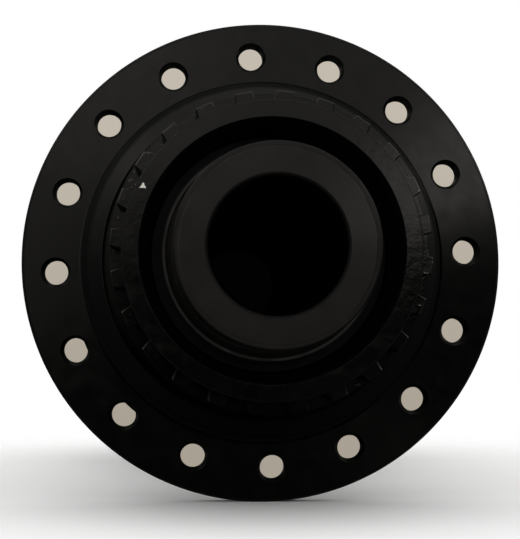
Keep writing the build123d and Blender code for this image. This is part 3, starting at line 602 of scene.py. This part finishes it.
def turned_mesh(name, outline, segments):
    """A closed outline turned about Y into a mesh of quads with its normals outwards."""
    points = rounded(outline)
    mesh = bpy.data.meshes.new(name)
    rows = len(points)
    vertices = []
    for segment in range(segments):
        turn = 2 * math.pi * segment / segments
        for point in points:
            vertices.append((point.x * math.cos(turn) * MM, point.y * MM,
                             -point.x * math.sin(turn) * MM))
    faces = []
    for segment in range(segments):
        here = segment * rows
        there = ((segment + 1) % segments) * rows
        for row in range(rows):
            beyond = (row + 1) % rows
            faces.append((here + row, here + beyond, there + beyond, there + row))
    mesh.from_pydata(vertices, [], faces)
    return cleaned(mesh)


def new_piece(name, mesh, material):
    """An object at the origin, smooth but for its sharp edges."""
    piece = add_object(name, mesh)
    mesh.materials.clear()
    mesh.materials.append(material)
    soften(mesh)
    return piece


def baked(piece, name):
    """The piece's evaluated mesh as plain geometry, with its modifiers gone."""
    graph = bpy.context.evaluated_depsgraph_get()
    mesh = bpy.data.meshes.new_from_object(piece.evaluated_get(graph))
    mesh.name = name
    piece.modifiers.clear()
    old = piece.data
    piece.data = mesh
    bpy.data.meshes.remove(old)
    return piece


# ---- Geometry Nodes ---------------------------------------------------------------------------


def new_tree(name, *lengths, count=False):
    """A geometry tree with named number inputs, after a whole-number Count if there is one; returns
    it with the outputs of its group input."""
    tree = bpy.data.node_groups.new(name, "GeometryNodeTree")
    tree.interface.new_socket("Geometry", in_out="OUTPUT", socket_type="NodeSocketGeometry")
    if count:
        tree.interface.new_socket("Count", in_out="INPUT", socket_type="NodeSocketInt")
    for label in lengths:
        tree.interface.new_socket(label, in_out="INPUT", socket_type="NodeSocketFloat")
    return tree, add_node(tree, "NodeGroupInput").outputs


def laid_round(tree, geometry, station, phase):
    """Geometry made round the Z axis, laid round the Y axis at a station and turned by a phase."""
    move = add_node(tree, "ShaderNodeCombineXYZ", {"Y": station})
    turn = add_node(tree, "ShaderNodeCombineXYZ", {"X": -math.pi / 2, "Y": phase})
    return add_node(tree, "GeometryNodeTransform", {
        "Geometry": geometry, "Translation": move, "Rotation": turn})


def end_tree(tree, geometry, material):
    """Realize Instances and Set Material, then the output; returns the tree."""
    real = add_node(tree, "GeometryNodeRealizeInstances", [geometry])
    dressed = add_node(tree, "GeometryNodeSetMaterial", {"Geometry": real, "Material": material})
    add_node(tree, "NodeGroupOutput", [dressed])
    return tree


def run_tree(name, tree, values):
    """An empty object that runs the tree with the values, turned to a plain mesh."""
    piece = add_object(name, bpy.data.meshes.new(name))
    modifier = piece.modifiers.new("build", "NODES")
    modifier.node_group = tree
    sockets = {item.name: item.identifier for item in tree.interface.items_tree
               if item.in_out == "INPUT"}
    for label, value in values.items():
        modifier[sockets[label]] = value
    return baked(piece, name)


def finish_repeats(piece):
    """Merges a repeated piece's doubles, turns its normals outwards and keeps its edges crisp."""
    soften(cleaned(piece.data))


def flatten_faces(piece):
    """Gives the faces square to the axis their true normals, so that they mirror like flat ones."""
    mesh = piece.data
    normals = [corner.vector.copy() for corner in mesh.corner_normals]
    for face in mesh.polygons:
        if abs(face.normal.y) > FLAT_FACE:
            for corner in face.loop_indices:
                normals[corner] = face.normal.copy()
    mesh.normals_split_custom_set(normals)


def rib_tree(material):
    """Straight ribs round the Y axis: one rounded trapezium swept along Y, set on a circle."""
    tree, value = new_tree(
        "rotor_rib_ring", "Foot radius", "Foot width", "Tip width", "Height", "Start", "End",
        "Rounding", "Lead-in", "Phase", count=True)
    profile = add_node(tree, "GeometryNodeCurvePrimitiveQuadrilateral", {
        "Height": value["Height"], "Bottom Width": value["Foot width"],
        "Top Width": value["Tip width"], "Offset": 0.0}, mode="TRAPEZOID")
    half = add_node(tree, "ShaderNodeMath", [value["Height"], 0.5], operation="MULTIPLY")
    lift = add_node(tree, "ShaderNodeCombineXYZ", {"Y": half})
    raised = add_node(tree, "GeometryNodeTransform", {"Geometry": profile, "Translation": lift})
    soft = add_node(tree, "GeometryNodeFilletCurve", {
        "Curve": raised, "Count": 3, "Radius": value["Rounding"]}, mode="POLY")
    run = add_node(tree, "ShaderNodeMath", [value["End"], value["Start"]], operation="SUBTRACT")
    tip = add_node(tree, "ShaderNodeCombineXYZ", {"Z": run})
    path = add_node(tree, "GeometryNodeCurvePrimitiveLine", {"End": tip})
    bits = add_node(tree, "GeometryNodeResampleCurve", {"Curve": path, "Count": RIB_STEPS})
    along = add_node(tree, "GeometryNodeSplineParameter").outputs["Length"]
    taper = add_node(tree, "ShaderNodeMapRange", {
        "Value": along, "From Max": value["Lead-in"], "To Min": RIB_LEAD_SHARE, "To Max": 1.0})
    rib = add_node(tree, "GeometryNodeCurveToMesh", {
        "Curve": bits, "Profile Curve": soft, "Scale": taper, "Fill Caps": True})
    ring = add_node(tree, "GeometryNodeMeshCircle", {
        "Vertices": value["Count"], "Radius": value["Foot radius"]})
    number = add_node(tree, "GeometryNodeInputIndex")
    share = add_node(tree, "ShaderNodeMath", [number, value["Count"]], operation="DIVIDE")
    turn = add_node(tree, "ShaderNodeMath", [share, 2 * math.pi, -math.pi / 2],
                    operation="MULTIPLY_ADD")
    spin = add_node(tree, "ShaderNodeCombineXYZ", {"Z": turn})
    spread = add_node(tree, "GeometryNodeInstanceOnPoints", {
        "Points": ring, "Instance": rib, "Rotation": spin})
    laid = laid_round(tree, spread, value["Start"], value["Phase"])
    return end_tree(tree, laid, material)


def thread_tree(material):
    """A screw thread inside a bore: a three-sided ridge that follows a helix round the Y axis."""
    tree, value = new_tree("lockring_thread", "Radius", "Ridge", "Pitch", "Start", "End")
    length = add_node(tree, "ShaderNodeMath", [value["End"], value["Start"]], operation="SUBTRACT")
    turns = add_node(tree, "ShaderNodeMath", [length, value["Pitch"]], operation="DIVIDE")
    helix = add_node(tree, "GeometryNodeCurveSpiral", {
        "Resolution": THREAD_STEPS, "Rotations": turns, "Start Radius": value["Radius"],
        "End Radius": value["Radius"], "Height": length})
    ridge = add_node(tree, "GeometryNodeCurvePrimitiveCircle", {
        "Resolution": 3, "Radius": value["Ridge"]})
    thread = add_node(tree, "GeometryNodeCurveToMesh", {
        "Curve": helix, "Profile Curve": ridge, "Fill Caps": True})
    laid = laid_round(tree, thread, value["Start"], 0.0)
    return end_tree(tree, laid, material)


def drill_tree(material):
    """The cutters for one flange's spoke holes: a bore with a cone at each end, set on a circle."""
    tree, value = new_tree(
        "spoke_hole_cutters", "Circle radius", "Phase", "Bore radius", "Sink radius", "Sink depth",
        "Face", "Back", count=True)
    depth = add_node(tree, "ShaderNodeMath", [value["Back"], value["Face"]], operation="SUBTRACT")
    bore = add_node(tree, "GeometryNodeMeshCylinder", {
        "Vertices": HOLE_STEPS, "Radius": value["Bore radius"], "Depth": depth})
    half = add_node(tree, "ShaderNodeMath", [depth, 0.5], operation="MULTIPLY")
    wide = add_node(
        tree, "ShaderNodeMath", [value["Sink radius"], value["Bore radius"]], operation="SUBTRACT")
    wide = add_node(
        tree, "ShaderNodeMath", [wide, 2.0, value["Bore radius"]], operation="MULTIPLY_ADD")
    tall = add_node(tree, "ShaderNodeMath", [value["Sink depth"], 2.0], operation="MULTIPLY")
    sink = add_node(tree, "GeometryNodeMeshCone", {
        "Vertices": HOLE_STEPS, "Radius Bottom": value["Bore radius"], "Radius Top": wide,
        "Depth": tall})
    step = add_node(tree, "ShaderNodeMath", [half, value["Sink depth"]], operation="SUBTRACT")
    lift = add_node(tree, "ShaderNodeCombineXYZ", {"Z": step})
    top = add_node(tree, "GeometryNodeTransform", {"Geometry": sink, "Translation": lift})
    low = add_node(tree, "GeometryNodeTransform", {
        "Geometry": top, "Rotation": (math.pi, 0.0, 0.0)})
    drill = add_node(tree, "GeometryNodeMeshBoolean", operation="UNION", solver="EXACT")
    for cutter in (bore, top, low):
        feed(drill, {"Mesh 2": cutter})
    ring = add_node(tree, "GeometryNodeMeshCircle", {
        "Vertices": value["Count"], "Radius": value["Circle radius"]})
    spread = add_node(tree, "GeometryNodeInstanceOnPoints", {"Points": ring, "Instance": drill})
    middle = add_node(tree, "ShaderNodeMath", [value["Face"], half], operation="ADD")
    laid = laid_round(tree, spread, middle, value["Phase"])
    return end_tree(tree, laid, material)


# ---- Pieces -----------------------------------------------------------------------------------


def shell_outline():
    """The hub shell's turned outline as (radius, station, rounding), from the mouth round the
    outside and back along the bore."""
    sizes = bpy.context.scene.hub_sizes
    soft = sizes.edge_rounding / MM
    flange = sizes.disc_flange_radius / MM
    drive = sizes.drive_flange_radius / MM
    edge = sizes.flange_chamfer / MM
    return [
        (MOUTH_R + MOUTH_CHAMFER, NOSE_END, soft),
        (NOSE_R - NOSE_CHAMFER, NOSE_END, soft),
        (NOSE_R, NOSE_END + NOSE_CHAMFER, soft),
        (NOSE_R, SEAT_Y, 0),
        (SEAT_R, SEAT_Y, soft * 2),
        (SEAT_R, GROOVE_FLOOR_Y, soft * 2),
        (FOOT_R, GROOVE_FLOOR_Y, soft * 2),
        (FOOT_R, FOOT_Y, soft),
        (EDGE_R - EDGE_BEVEL, EDGE_Y - EDGE_BEVEL, soft),
        (EDGE_R, EDGE_Y, soft),
        (EDGE_R, FLANGE_FACE, NECK_FILLET),
        (flange - edge, FLANGE_FACE, soft * 2),
        (flange, FLANGE_FACE + edge, soft),
        (flange, FLANGE_BACK - edge, soft),
        (flange - edge, FLANGE_BACK, soft * 2),
        (BARREL_R, FLANGE_BACK, BARREL_FILLET),
        (BARREL_R, FLANGE_BACK + BARREL_ROOT, 0),
        (WAIST_R, WAIST_Y, 0),
        (BARREL_R, DRIVE_BACK - BARREL_ROOT, 0),
        (BARREL_R, DRIVE_BACK, BARREL_FILLET),
        (drive - edge, DRIVE_BACK, soft * 2),
        (drive, DRIVE_BACK + edge, soft),
        (drive, DRIVE_FACE - edge, soft),
        (drive - edge, DRIVE_FACE, soft * 2),
        (DRUM_R, DRIVE_FACE, DRUM_FILLET),
        (DRUM_R, DRUM_END - DRUM_BEVEL, soft),
        (DRUM_R - DRUM_BEVEL, DRUM_END, soft),
        (DRUM_BORE, DRUM_END, soft),
        (DRUM_BORE, DRUM_FLOOR, 0),
        (DRIVE_POCKET_R, DRUM_FLOOR, 0),
        (DRIVE_POCKET_R, DRIVE_POCKET_END, 0),
        (DRIVE_SHOULDER_R, DRIVE_POCKET_END, 0),
        (DRIVE_SHOULDER_R, DRIVE_LAND, 0),
        (CAVITY_R, CAVITY_END, 0),
        (CAVITY_R, CAVITY_START, 0),
        (DISC_SHOULDER_R, DISC_LAND, 0),
        (DISC_SHOULDER_R, DISC_POCKET_END, 0),
        (DISC_POCKET_R, DISC_POCKET_END, 0),
        (DISC_POCKET_R, DISC_POCKET_START, 0),
        (THREAD_ROOT_R, DISC_POCKET_START, 0),
        (THREAD_ROOT_R, NOSE_END + THREAD_RELIEF * 2, 0),
        (MOUTH_R, NOSE_END + THREAD_RELIEF, 0),
        (MOUTH_R, NOSE_END + MOUTH_CHAMFER, soft),
    ]


class HubSizes(bpy.types.PropertyGroup):
    """Sizes of the shell that can be changed."""

    disc_flange_radius: FloatProperty(
        name="Disc flange radius", description="Outer radius of the flange on the disc side",
        default=26.5 * MM, unit="LENGTH")
    drive_flange_radius: FloatProperty(
        name="Drive flange radius", description="Outer radius of the flange on the cassette side",
        default=24.51 * MM, unit="LENGTH")
    flange_chamfer: FloatProperty(
        name="Flange chamfer", description="Chamfer on the edges of both flanges",
        default=0.3 * MM, unit="LENGTH")
    edge_rounding: FloatProperty(
        name="Edge rounding", description="Radius of a broken edge",
        default=0.05 * MM, unit="LENGTH")
    spoke_count: IntProperty(
        name="Spoke holes", description="Spoke holes in each flange", default=16, min=8)
    rib_count: IntProperty(
        name="Rotor ribs", description="Ribs that carry the disc rotor", default=24, min=6)
    thread_pitch: FloatProperty(
        name="Thread pitch", description="Pitch of the rotor lockring's thread",
        default=1.0 * MM, unit="LENGTH")
    round_steps: IntProperty(
        name="Steps in a turn", description="Flat steps that make up a full turn of the shell",
        default=360, min=96)


class HubFinish(bpy.types.PropertyGroup):
    """Colours and wear."""

    anodised_colour: FloatVectorProperty(
        name="Anodised black", description="Dye of the shell", subtype="COLOR",
        default=srgb("020202")[:3])
    cap_colour: FloatVectorProperty(
        name="Cap black", description="Dye of the end caps", subtype="COLOR",
        default=srgb("171513")[:3])
    shell_roughness: FloatProperty(
        name="Shell roughness", description="How dull the turned faces are", default=0.12,
        subtype="FACTOR", min=0.1, max=0.9)
    # Flecks: partly bare metal, partly painted highlight on the lit sides
    fleck_wear_and_glint: FloatProperty(
        name="Flecks", description="How bright the small bare flecks on the ribs are", default=0.5,
        subtype="FACTOR", min=0.0, max=1.0)
    # Rib wear: the rubbed corners, brightened as painted highlight on the lit sides
    rib_wear_and_glint: FloatProperty(
        name="Rib wear", description="How bright the rubbed corners of the ribs are", default=0.28,
        subtype="FACTOR", min=0.0, max=1.0)


class HubStage(bpy.types.PropertyGroup):
    """Camera, lamp and the brightness of the room."""

    camera_place: FloatVectorProperty(
        name="Camera place", description="Where the camera stands", subtype="TRANSLATION",
        unit="LENGTH", default=(-7.9 * MM, -227.0 * MM, -7.9 * MM))
    camera_aim: FloatVectorProperty(
        name="Camera aim", description="Point that the camera looks at", subtype="TRANSLATION",
        unit="LENGTH", default=(-0.16 * MM, -34.0 * MM, -0.84 * MM))
    lens: FloatProperty(
        name="Lens", description="Focal length for a sensor 36 mm high", default=116.5,
        unit="CAMERA")
    key_power: FloatProperty(
        name="Overhead lamp", description="Power of the soft lamp over the hub", default=0.4,
        unit="POWER")
    top_glow: FloatProperty(
        name="Top glow", description="Brightness of the room above the camera", default=0.45)
    low_glow: FloatProperty(
        name="Low glow", description="Brightness of the faint patch low on the right", default=0.09)
    ceiling_glow: FloatProperty(
        name="Ceiling glow", description="Brightness of the room overhead", default=1.2)
    strip_glow: FloatProperty(
        name="Strip glow", description="Brightness of the strip lights along the hub", default=4.0)
    room_glow: FloatProperty(
        name="Room glow", description="The room's even light", default=0.85)
    right_glow: FloatProperty(
        name="Right glow", description="Brightness of the soft box to the right", default=0.72)
    left_glow: FloatProperty(
        name="Left glow", description="Brightness of the soft box to the left", default=0.22)


def dress(material, *names):
    """Gives the material to CAD nodes that stay as they are."""
    for name in names:
        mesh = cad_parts[name].data
        mesh.materials.clear()
        mesh.materials.append(material)


class HUB_OT_inner_pieces(bpy.types.Operator):
    """Gives their finishes to the CAD pieces that stay"""

    bl_idname = "hub.inner_pieces"
    bl_label = "Inner pieces"

    def execute(self, context):
        bearings = ("disc_bearing", "drive_bearing", "freehub_inner_bearing",
                    "freehub_outer_bearing")
        race = ground_steel("black_oxide_steel", "1b1c1e", "2b2c2f", 0.36, 0.6)
        ball = ground_steel("polished_ball_steel", "c9cbce", "dedfe1", 0.12, 0.3)
        nylon, rubber = moulded_nylon(), moulded_rubber()
        for bearing in bearings:
            dress(race, bearing + "_inner_race", bearing + "_outer_race")
            dress(ball, bearing + "_balls")
            dress(nylon, bearing + "_cage")
            dress(rubber, bearing + "_disc_side_seal", bearing + "_drive_side_seal")
        dress(rubber, "freehub_lip_seal", "disc_cap_o_ring", "drive_cap_o_ring")
        dress(bare_aluminium(), "drive_side_spacer", "freehub_spacer")
        dress(ground_steel("oiled_ratchet_steel", "6d6e71", "86888b", 0.34, 0.5),
              "ratchet_ring", "pawl_1", "pawl_2", "pawl_3")
        dress(ground_steel("tempered_spring_steel", "84868a", "a2a4a8", 0.3, 0.8),
              "pawl_springs", "bearing_snap_ring")
        return {"FINISHED"}


class HUB_OT_caps(bpy.types.Operator):
    """Gives their finishes to the axle and the end caps"""

    bl_idname = "hub.caps"
    bl_label = "Axle and caps"

    def execute(self, context):
        names = ("axle_tube", "disc_end_cap", "drive_end_cap")
        dress(satin_anodising(), *names)
        # Faces within the bore get the painted-shade material
        bore = bore_shade_material()
        for name in names:
            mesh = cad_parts[name].data
            mesh.materials.append(bore)
            for face in mesh.polygons:
                if math.hypot(face.center.x, face.center.z) < (BORE_R + BORE_WALL) * MM:
                    face.material_index = 1
        return {"FINISHED"}


class HUB_OT_shell(bpy.types.Operator):
    """Turns the hub shell, drills its spoke holes and adds the rotor mount's ribs and thread"""

    bl_idname = "hub.shell"
    bl_label = "Hub shell"

    def execute(self, context):
        sizes = context.scene.hub_sizes
        turned, scuffed, shaded_mouth = turned_anodising(), scuffed_anodising(), shaded_thread()
        outline = turned_mesh("turned_shell", shell_outline(), sizes.round_steps)
        shell = new_piece("turned_shell", outline, turned)
        cutters = []
        drills = drill_tree(turned)
        half_pitch = math.pi / sizes.spoke_count
        phase = math.radians(HOLE_PHASE)
        for label, circle, face, back, turn in (
                ("disc", DISC_HOLE_CIRCLE, FLANGE_FACE, FLANGE_BACK, phase),
                ("drive", DRIVE_HOLE_CIRCLE, DRIVE_BACK, DRIVE_FACE, phase + half_pitch)):
            cutters.append(run_tree(label + "_spoke_drill", drills, {
                "Count": sizes.spoke_count, "Circle radius": circle * MM, "Phase": turn,
                "Bore radius": HOLE_R * MM, "Sink radius": SINK_R * MM,
                "Sink depth": SINK_DEPTH * MM, "Face": face * MM, "Back": back * MM}))
        for cutter in cutters:
            cut = shell.modifiers.new("drill", "BOOLEAN")
            cut.operation = "DIFFERENCE"
            cut.solver = "MANIFOLD"
            cut.object = cutter
        baked(shell, "turned_shell")
        for cutter in cutters:
            bpy.data.objects.remove(cutter)
        finish_repeats(shell)
        flatten_faces(shell)
        shell.data.materials.clear()
        for material in (turned, scuffed, shaded_mouth):
            shell.data.materials.append(material)
        for face in shell.data.polygons:
            station = face.center.y / MM
            radius = math.hypot(face.center.x, face.center.z) / MM
            # Faces inside the threaded mouth get the painted-shade material
            in_mouth = station < DISC_POCKET_END and radius < THREAD_ROOT_R + SLACK_R
            if in_mouth and station > NOSE_END + SLACK_Y:
                face.material_index = 2
            else:
                face.material_index = 1 if station < SEAT_Y + SLACK_Y else 0
        ribs = run_tree("rotor_ribs", rib_tree(scuffed), {
            "Count": sizes.rib_count, "Foot radius": RIB_ROOT_R * MM - RIB_SUNK * MM,
            "Foot width": RIB_FOOT_WIDTH * MM, "Tip width": RIB_TIP_WIDTH * MM,
            "Height": (RIB_TIP_R - RIB_ROOT_R + RIB_SUNK) * MM,
            "Start": RIB_START * MM, "End": SEAT_Y * MM, "Rounding": RIB_ROUNDING * MM,
            "Lead-in": RIB_LEAD_IN * MM, "Phase": math.radians(RIB_PHASE)})
        finish_repeats(ribs)
        thread = run_tree("rotor_thread", thread_tree(shaded_mouth), {
            "Radius": (MOUTH_R + THREAD_RIDGE) * MM, "Ridge": THREAD_RIDGE * MM,
            "Pitch": sizes.thread_pitch, "Start": ROTOR_THREAD_START * MM,
            "End": ROTOR_THREAD_END * MM})
        finish_repeats(thread)
        for piece in (shell, ribs, thread):
            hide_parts("hub_shell")
            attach(piece, "shell")
        return {"FINISHED"}


class HUB_OT_cassette(bpy.types.Operator):
    """Finishes the cassette body"""

    bl_idname = "hub.cassette"
    bl_label = "Cassette body"

    def execute(self, context):
        dress(hard_anodising(), "cassette_body")
        return {"FINISHED"}


def add_lamp(power):
    """The soft round lamp over the hub, turned to face it."""
    lamp = bpy.data.lights.new("overhead_lamp", "AREA")
    lamp.shape = "DISK"
    lamp.size = LAMP_SIZE
    lamp.energy = power
    holder = add_object("overhead_lamp", lamp)
    tip = math.radians(LAMP_POLAR)
    way = Vector((0.0, -math.cos(tip), math.sin(tip)))
    holder.location = way * LAMP_DISTANCE
    holder.rotation_euler = (-way).to_track_quat("-Z", "Y").to_euler()


def add_panes():
    """A ring of clear pane across the disc flange's spoke holes and two round panes in the bore,
    behind which the room shows painted shade.
    """
    mesh = bpy.data.meshes.new("hole_panes")
    points, faces, turns = [], [], HOLE_STEPS
    for inner, outer, station in PANES:
        start = len(points)
        for radius, step in itertools.product((inner, outer), range(turns)):
            angle = 2 * math.pi * step / turns
            points.append(Vector((radius * math.sin(angle), station,
                                  radius * math.cos(angle))) * MM)
        for step in range(turns):
            after = (step + 1) % turns
            faces.append([start + row for row in (step, after, turns + after, turns + step)])
    mesh.from_pydata(points, [], faces)
    mesh.materials.append(clear_pane())
    panes = add_object("hole_panes", mesh)
    panes.visible_diffuse = panes.visible_glossy = panes.visible_shadow = False
    panes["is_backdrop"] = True


def glow_sum(tree, angle, *rows):
    """The sum of windows of an angle, each with its brightness."""
    total = 0.0
    for span, glow in rows:
        share = window(tree, angle, *span)
        lit = add_node(tree, "ShaderNodeMath", [share, glow], operation="MULTIPLY")
        total = add_node(tree, "ShaderNodeMath", [total, lit], operation="ADD")
    return total


def studio_world(stage):
    """The room: a pale studio with soft boxes up to the left and right of the camera and dark below
    it, and to the eye a white background, with painted shade behind the panes: warm grey, lighter
    higher up, behind one clear pane and black behind two."""
    world = bpy.data.worlds.new("studio_room")
    tree = empty_tree(world)
    way = add_node(tree, "ShaderNodeTexCoord").outputs["Generated"]
    clock = hub_clock(tree, way)
    _, ahead, up = add_node(tree, "ShaderNodeSeparateXYZ", [way]).outputs
    front = add_node(tree, "ShaderNodeMath", [ahead, -1.0], operation="MULTIPLY")
    polar = add_node(tree, "ShaderNodeMath", [front], operation="ARCCOSINE")
    ends = add_node(tree, "ShaderNodeMath", [
        glow_sum(tree, polar, (FRONT_POLAR, 1.0), (BACK_POLAR, BACK_SHARE)),
        glow_sum(tree, clock, (TOP_CLOCK, stage.top_glow), (RIGHT_CLOCK, stage.right_glow),
                 (LEFT_CLOCK, stage.left_glow), (LOW_CLOCK, stage.low_glow))],
                    operation="MULTIPLY")
    sides = add_node(tree, "ShaderNodeMath", [
        glow_sum(tree, polar, (SIDE_POLAR, 1.0)),
        glow_sum(tree, clock, (CEILING_CLOCK, stage.ceiling_glow), (STRIP_CLOCK, stage.strip_glow),
                 (FAINT_STRIP_CLOCK, stage.strip_glow * FAINT_STRIP))], operation="MULTIPLY")
    glow = add_node(tree, "ShaderNodeMath", [ends, sides], operation="ADD")
    mirrored = add_node(tree, "ShaderNodeBackground", {"Color": srgb("fffbf3"), "Strength": glow})
    shares = [stage.room_glow * share for share in ROOM_SHARES]
    even = add_node(tree, "ShaderNodeMapRange", [up, *ROOM_HEIGHTS, *shares], **SMOOTH)
    room = add_node(tree, "ShaderNodeBackground", {"Color": srgb("ffffff"), "Strength": even})

    # Painted shade: behind one pane the room shows a warm grey, lighter higher up, and behind two
    # panes black
    path = add_node(tree, "ShaderNodeLightPath").outputs
    panes = path["Transmission Depth"]
    axis = (Vector((0, FLANGE_FACE * MM, 0)) - Vector(stage.camera_place)).normalized()
    height = add_node(
        tree, "ShaderNodeMapRange", [up, axis.z - HOLE_SHADE_REACH, axis.z + HOLE_SHADE_REACH], **SMOOTH)
    tone = add_node(
        tree, "ShaderNodeMix", [height, srgb("a8a093"), srgb("c3bbae")], data_type="RGBA")
    one = add_node(tree, "ShaderNodeMapRange", [panes, 0.0, 1.0], **SMOOTH)
    tone = add_node(tree, "ShaderNodeMix", [one, srgb("ffffff"), tone], data_type="RGBA")
    two = add_node(tree, "ShaderNodeMapRange", [panes, 1.0, 2.0], **SMOOTH)
    tone = add_node(tree, "ShaderNodeMix", [two, tone, srgb("020202")], data_type="RGBA")
    behind = add_node(tree, "ShaderNodeBackground", {"Color": tone, "Strength": 1.0})
    seen = add_node(tree, "ShaderNodeMath", [path["Is Camera Ray"], path["Is Transmission Ray"]],
                    operation="MAXIMUM")
    light = add_node(tree, "ShaderNodeMixShader", [path["Is Glossy Ray"], room, mirrored])
    both = add_node(tree, "ShaderNodeMixShader", [seen, light, behind])
    add_node(tree, "ShaderNodeOutputWorld", {"Surface": both})
    return world


class HUB_OT_stage(bpy.types.Operator):
    """Lays the floor, sets the lamp and the room's light and places the camera"""

    bl_idname = "hub.stage"
    bl_label = "Stage"

    def execute(self, context):
        scene, stage = context.scene, context.scene.hub_stage
        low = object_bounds()[0]
        corners = ((-1, -1), (1, -1), (1, 1), (-1, 1))
        floor_mesh = bpy.data.meshes.new("paper_floor")
        floor_mesh.from_pydata(
            [(x * FLOOR_REACH, y * FLOOR_REACH, low.z) for x, y in corners], [], [(0, 1, 2, 3)])
        floor_mesh.materials.append(white_floor())
        floor = add_object("paper_floor", floor_mesh)
        floor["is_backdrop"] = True
        floor.visible_glossy = False
        add_panes()
        scene.world = studio_world(stage)
        add_lamp(stage.key_power)

        camera = bpy.data.cameras.new("camera")
        camera.sensor_width = 36.0
        camera.lens = stage.lens
        camera.clip_start = 0.01
        holder = add_object("camera", camera)
        holder.location = stage.camera_place
        aim = Vector(stage.camera_aim) - Vector(stage.camera_place)
        holder.rotation_euler = aim.to_track_quat("-Z", "Y").to_euler()
        scene.camera = holder
        scene.view_settings.view_transform = "Standard"
        return {"FINISHED"}


class HUB_PT_panel(bpy.types.Panel):
    """Lists the hub's build steps in the sidebar"""

    bl_idname = "HUB_PT_panel"
    bl_label = "Rear hub"
    bl_space_type = "VIEW_3D"
    bl_region_type = "UI"
    bl_category = "Hub"

    def draw(self, context):
        scene = context.scene
        for group in (scene.hub_sizes, scene.hub_finish, scene.hub_stage):
            box = self.layout.box()
            for name in group.bl_rna.properties.keys():
                if name not in ("rna_type", "name"):
                    box.prop(group, name)
        for operator in OPERATORS:
            self.layout.operator(operator.bl_idname)


OPERATORS = (HUB_OT_inner_pieces, HUB_OT_caps, HUB_OT_shell, HUB_OT_cassette, HUB_OT_stage)
GROUPS = (("hub_sizes", HubSizes), ("hub_finish", HubFinish), ("hub_stage", HubStage))


def register():
    """Registers the classes and hangs the settings on the scene."""
    for name, group in GROUPS:
        bpy.utils.register_class(group)
        setattr(bpy.types.Scene, name, PointerProperty(type=group))
    for item in OPERATORS + (HUB_PT_panel,):
        bpy.utils.register_class(item)


def unregister():
    """Takes everything back off."""
    for item in reversed(OPERATORS + (HUB_PT_panel,)):
        bpy.utils.unregister_class(item)
    for name, group in reversed(GROUPS):
        delattr(bpy.types.Scene, name)
        bpy.utils.unregister_class(group)


def main():
    """Builds the looks."""
    register()
    for item in OPERATORS:
        _, _, step = item.bl_idname.partition(".")
        getattr(bpy.ops.hub, step)()


if __name__ == "__main__":
    main()
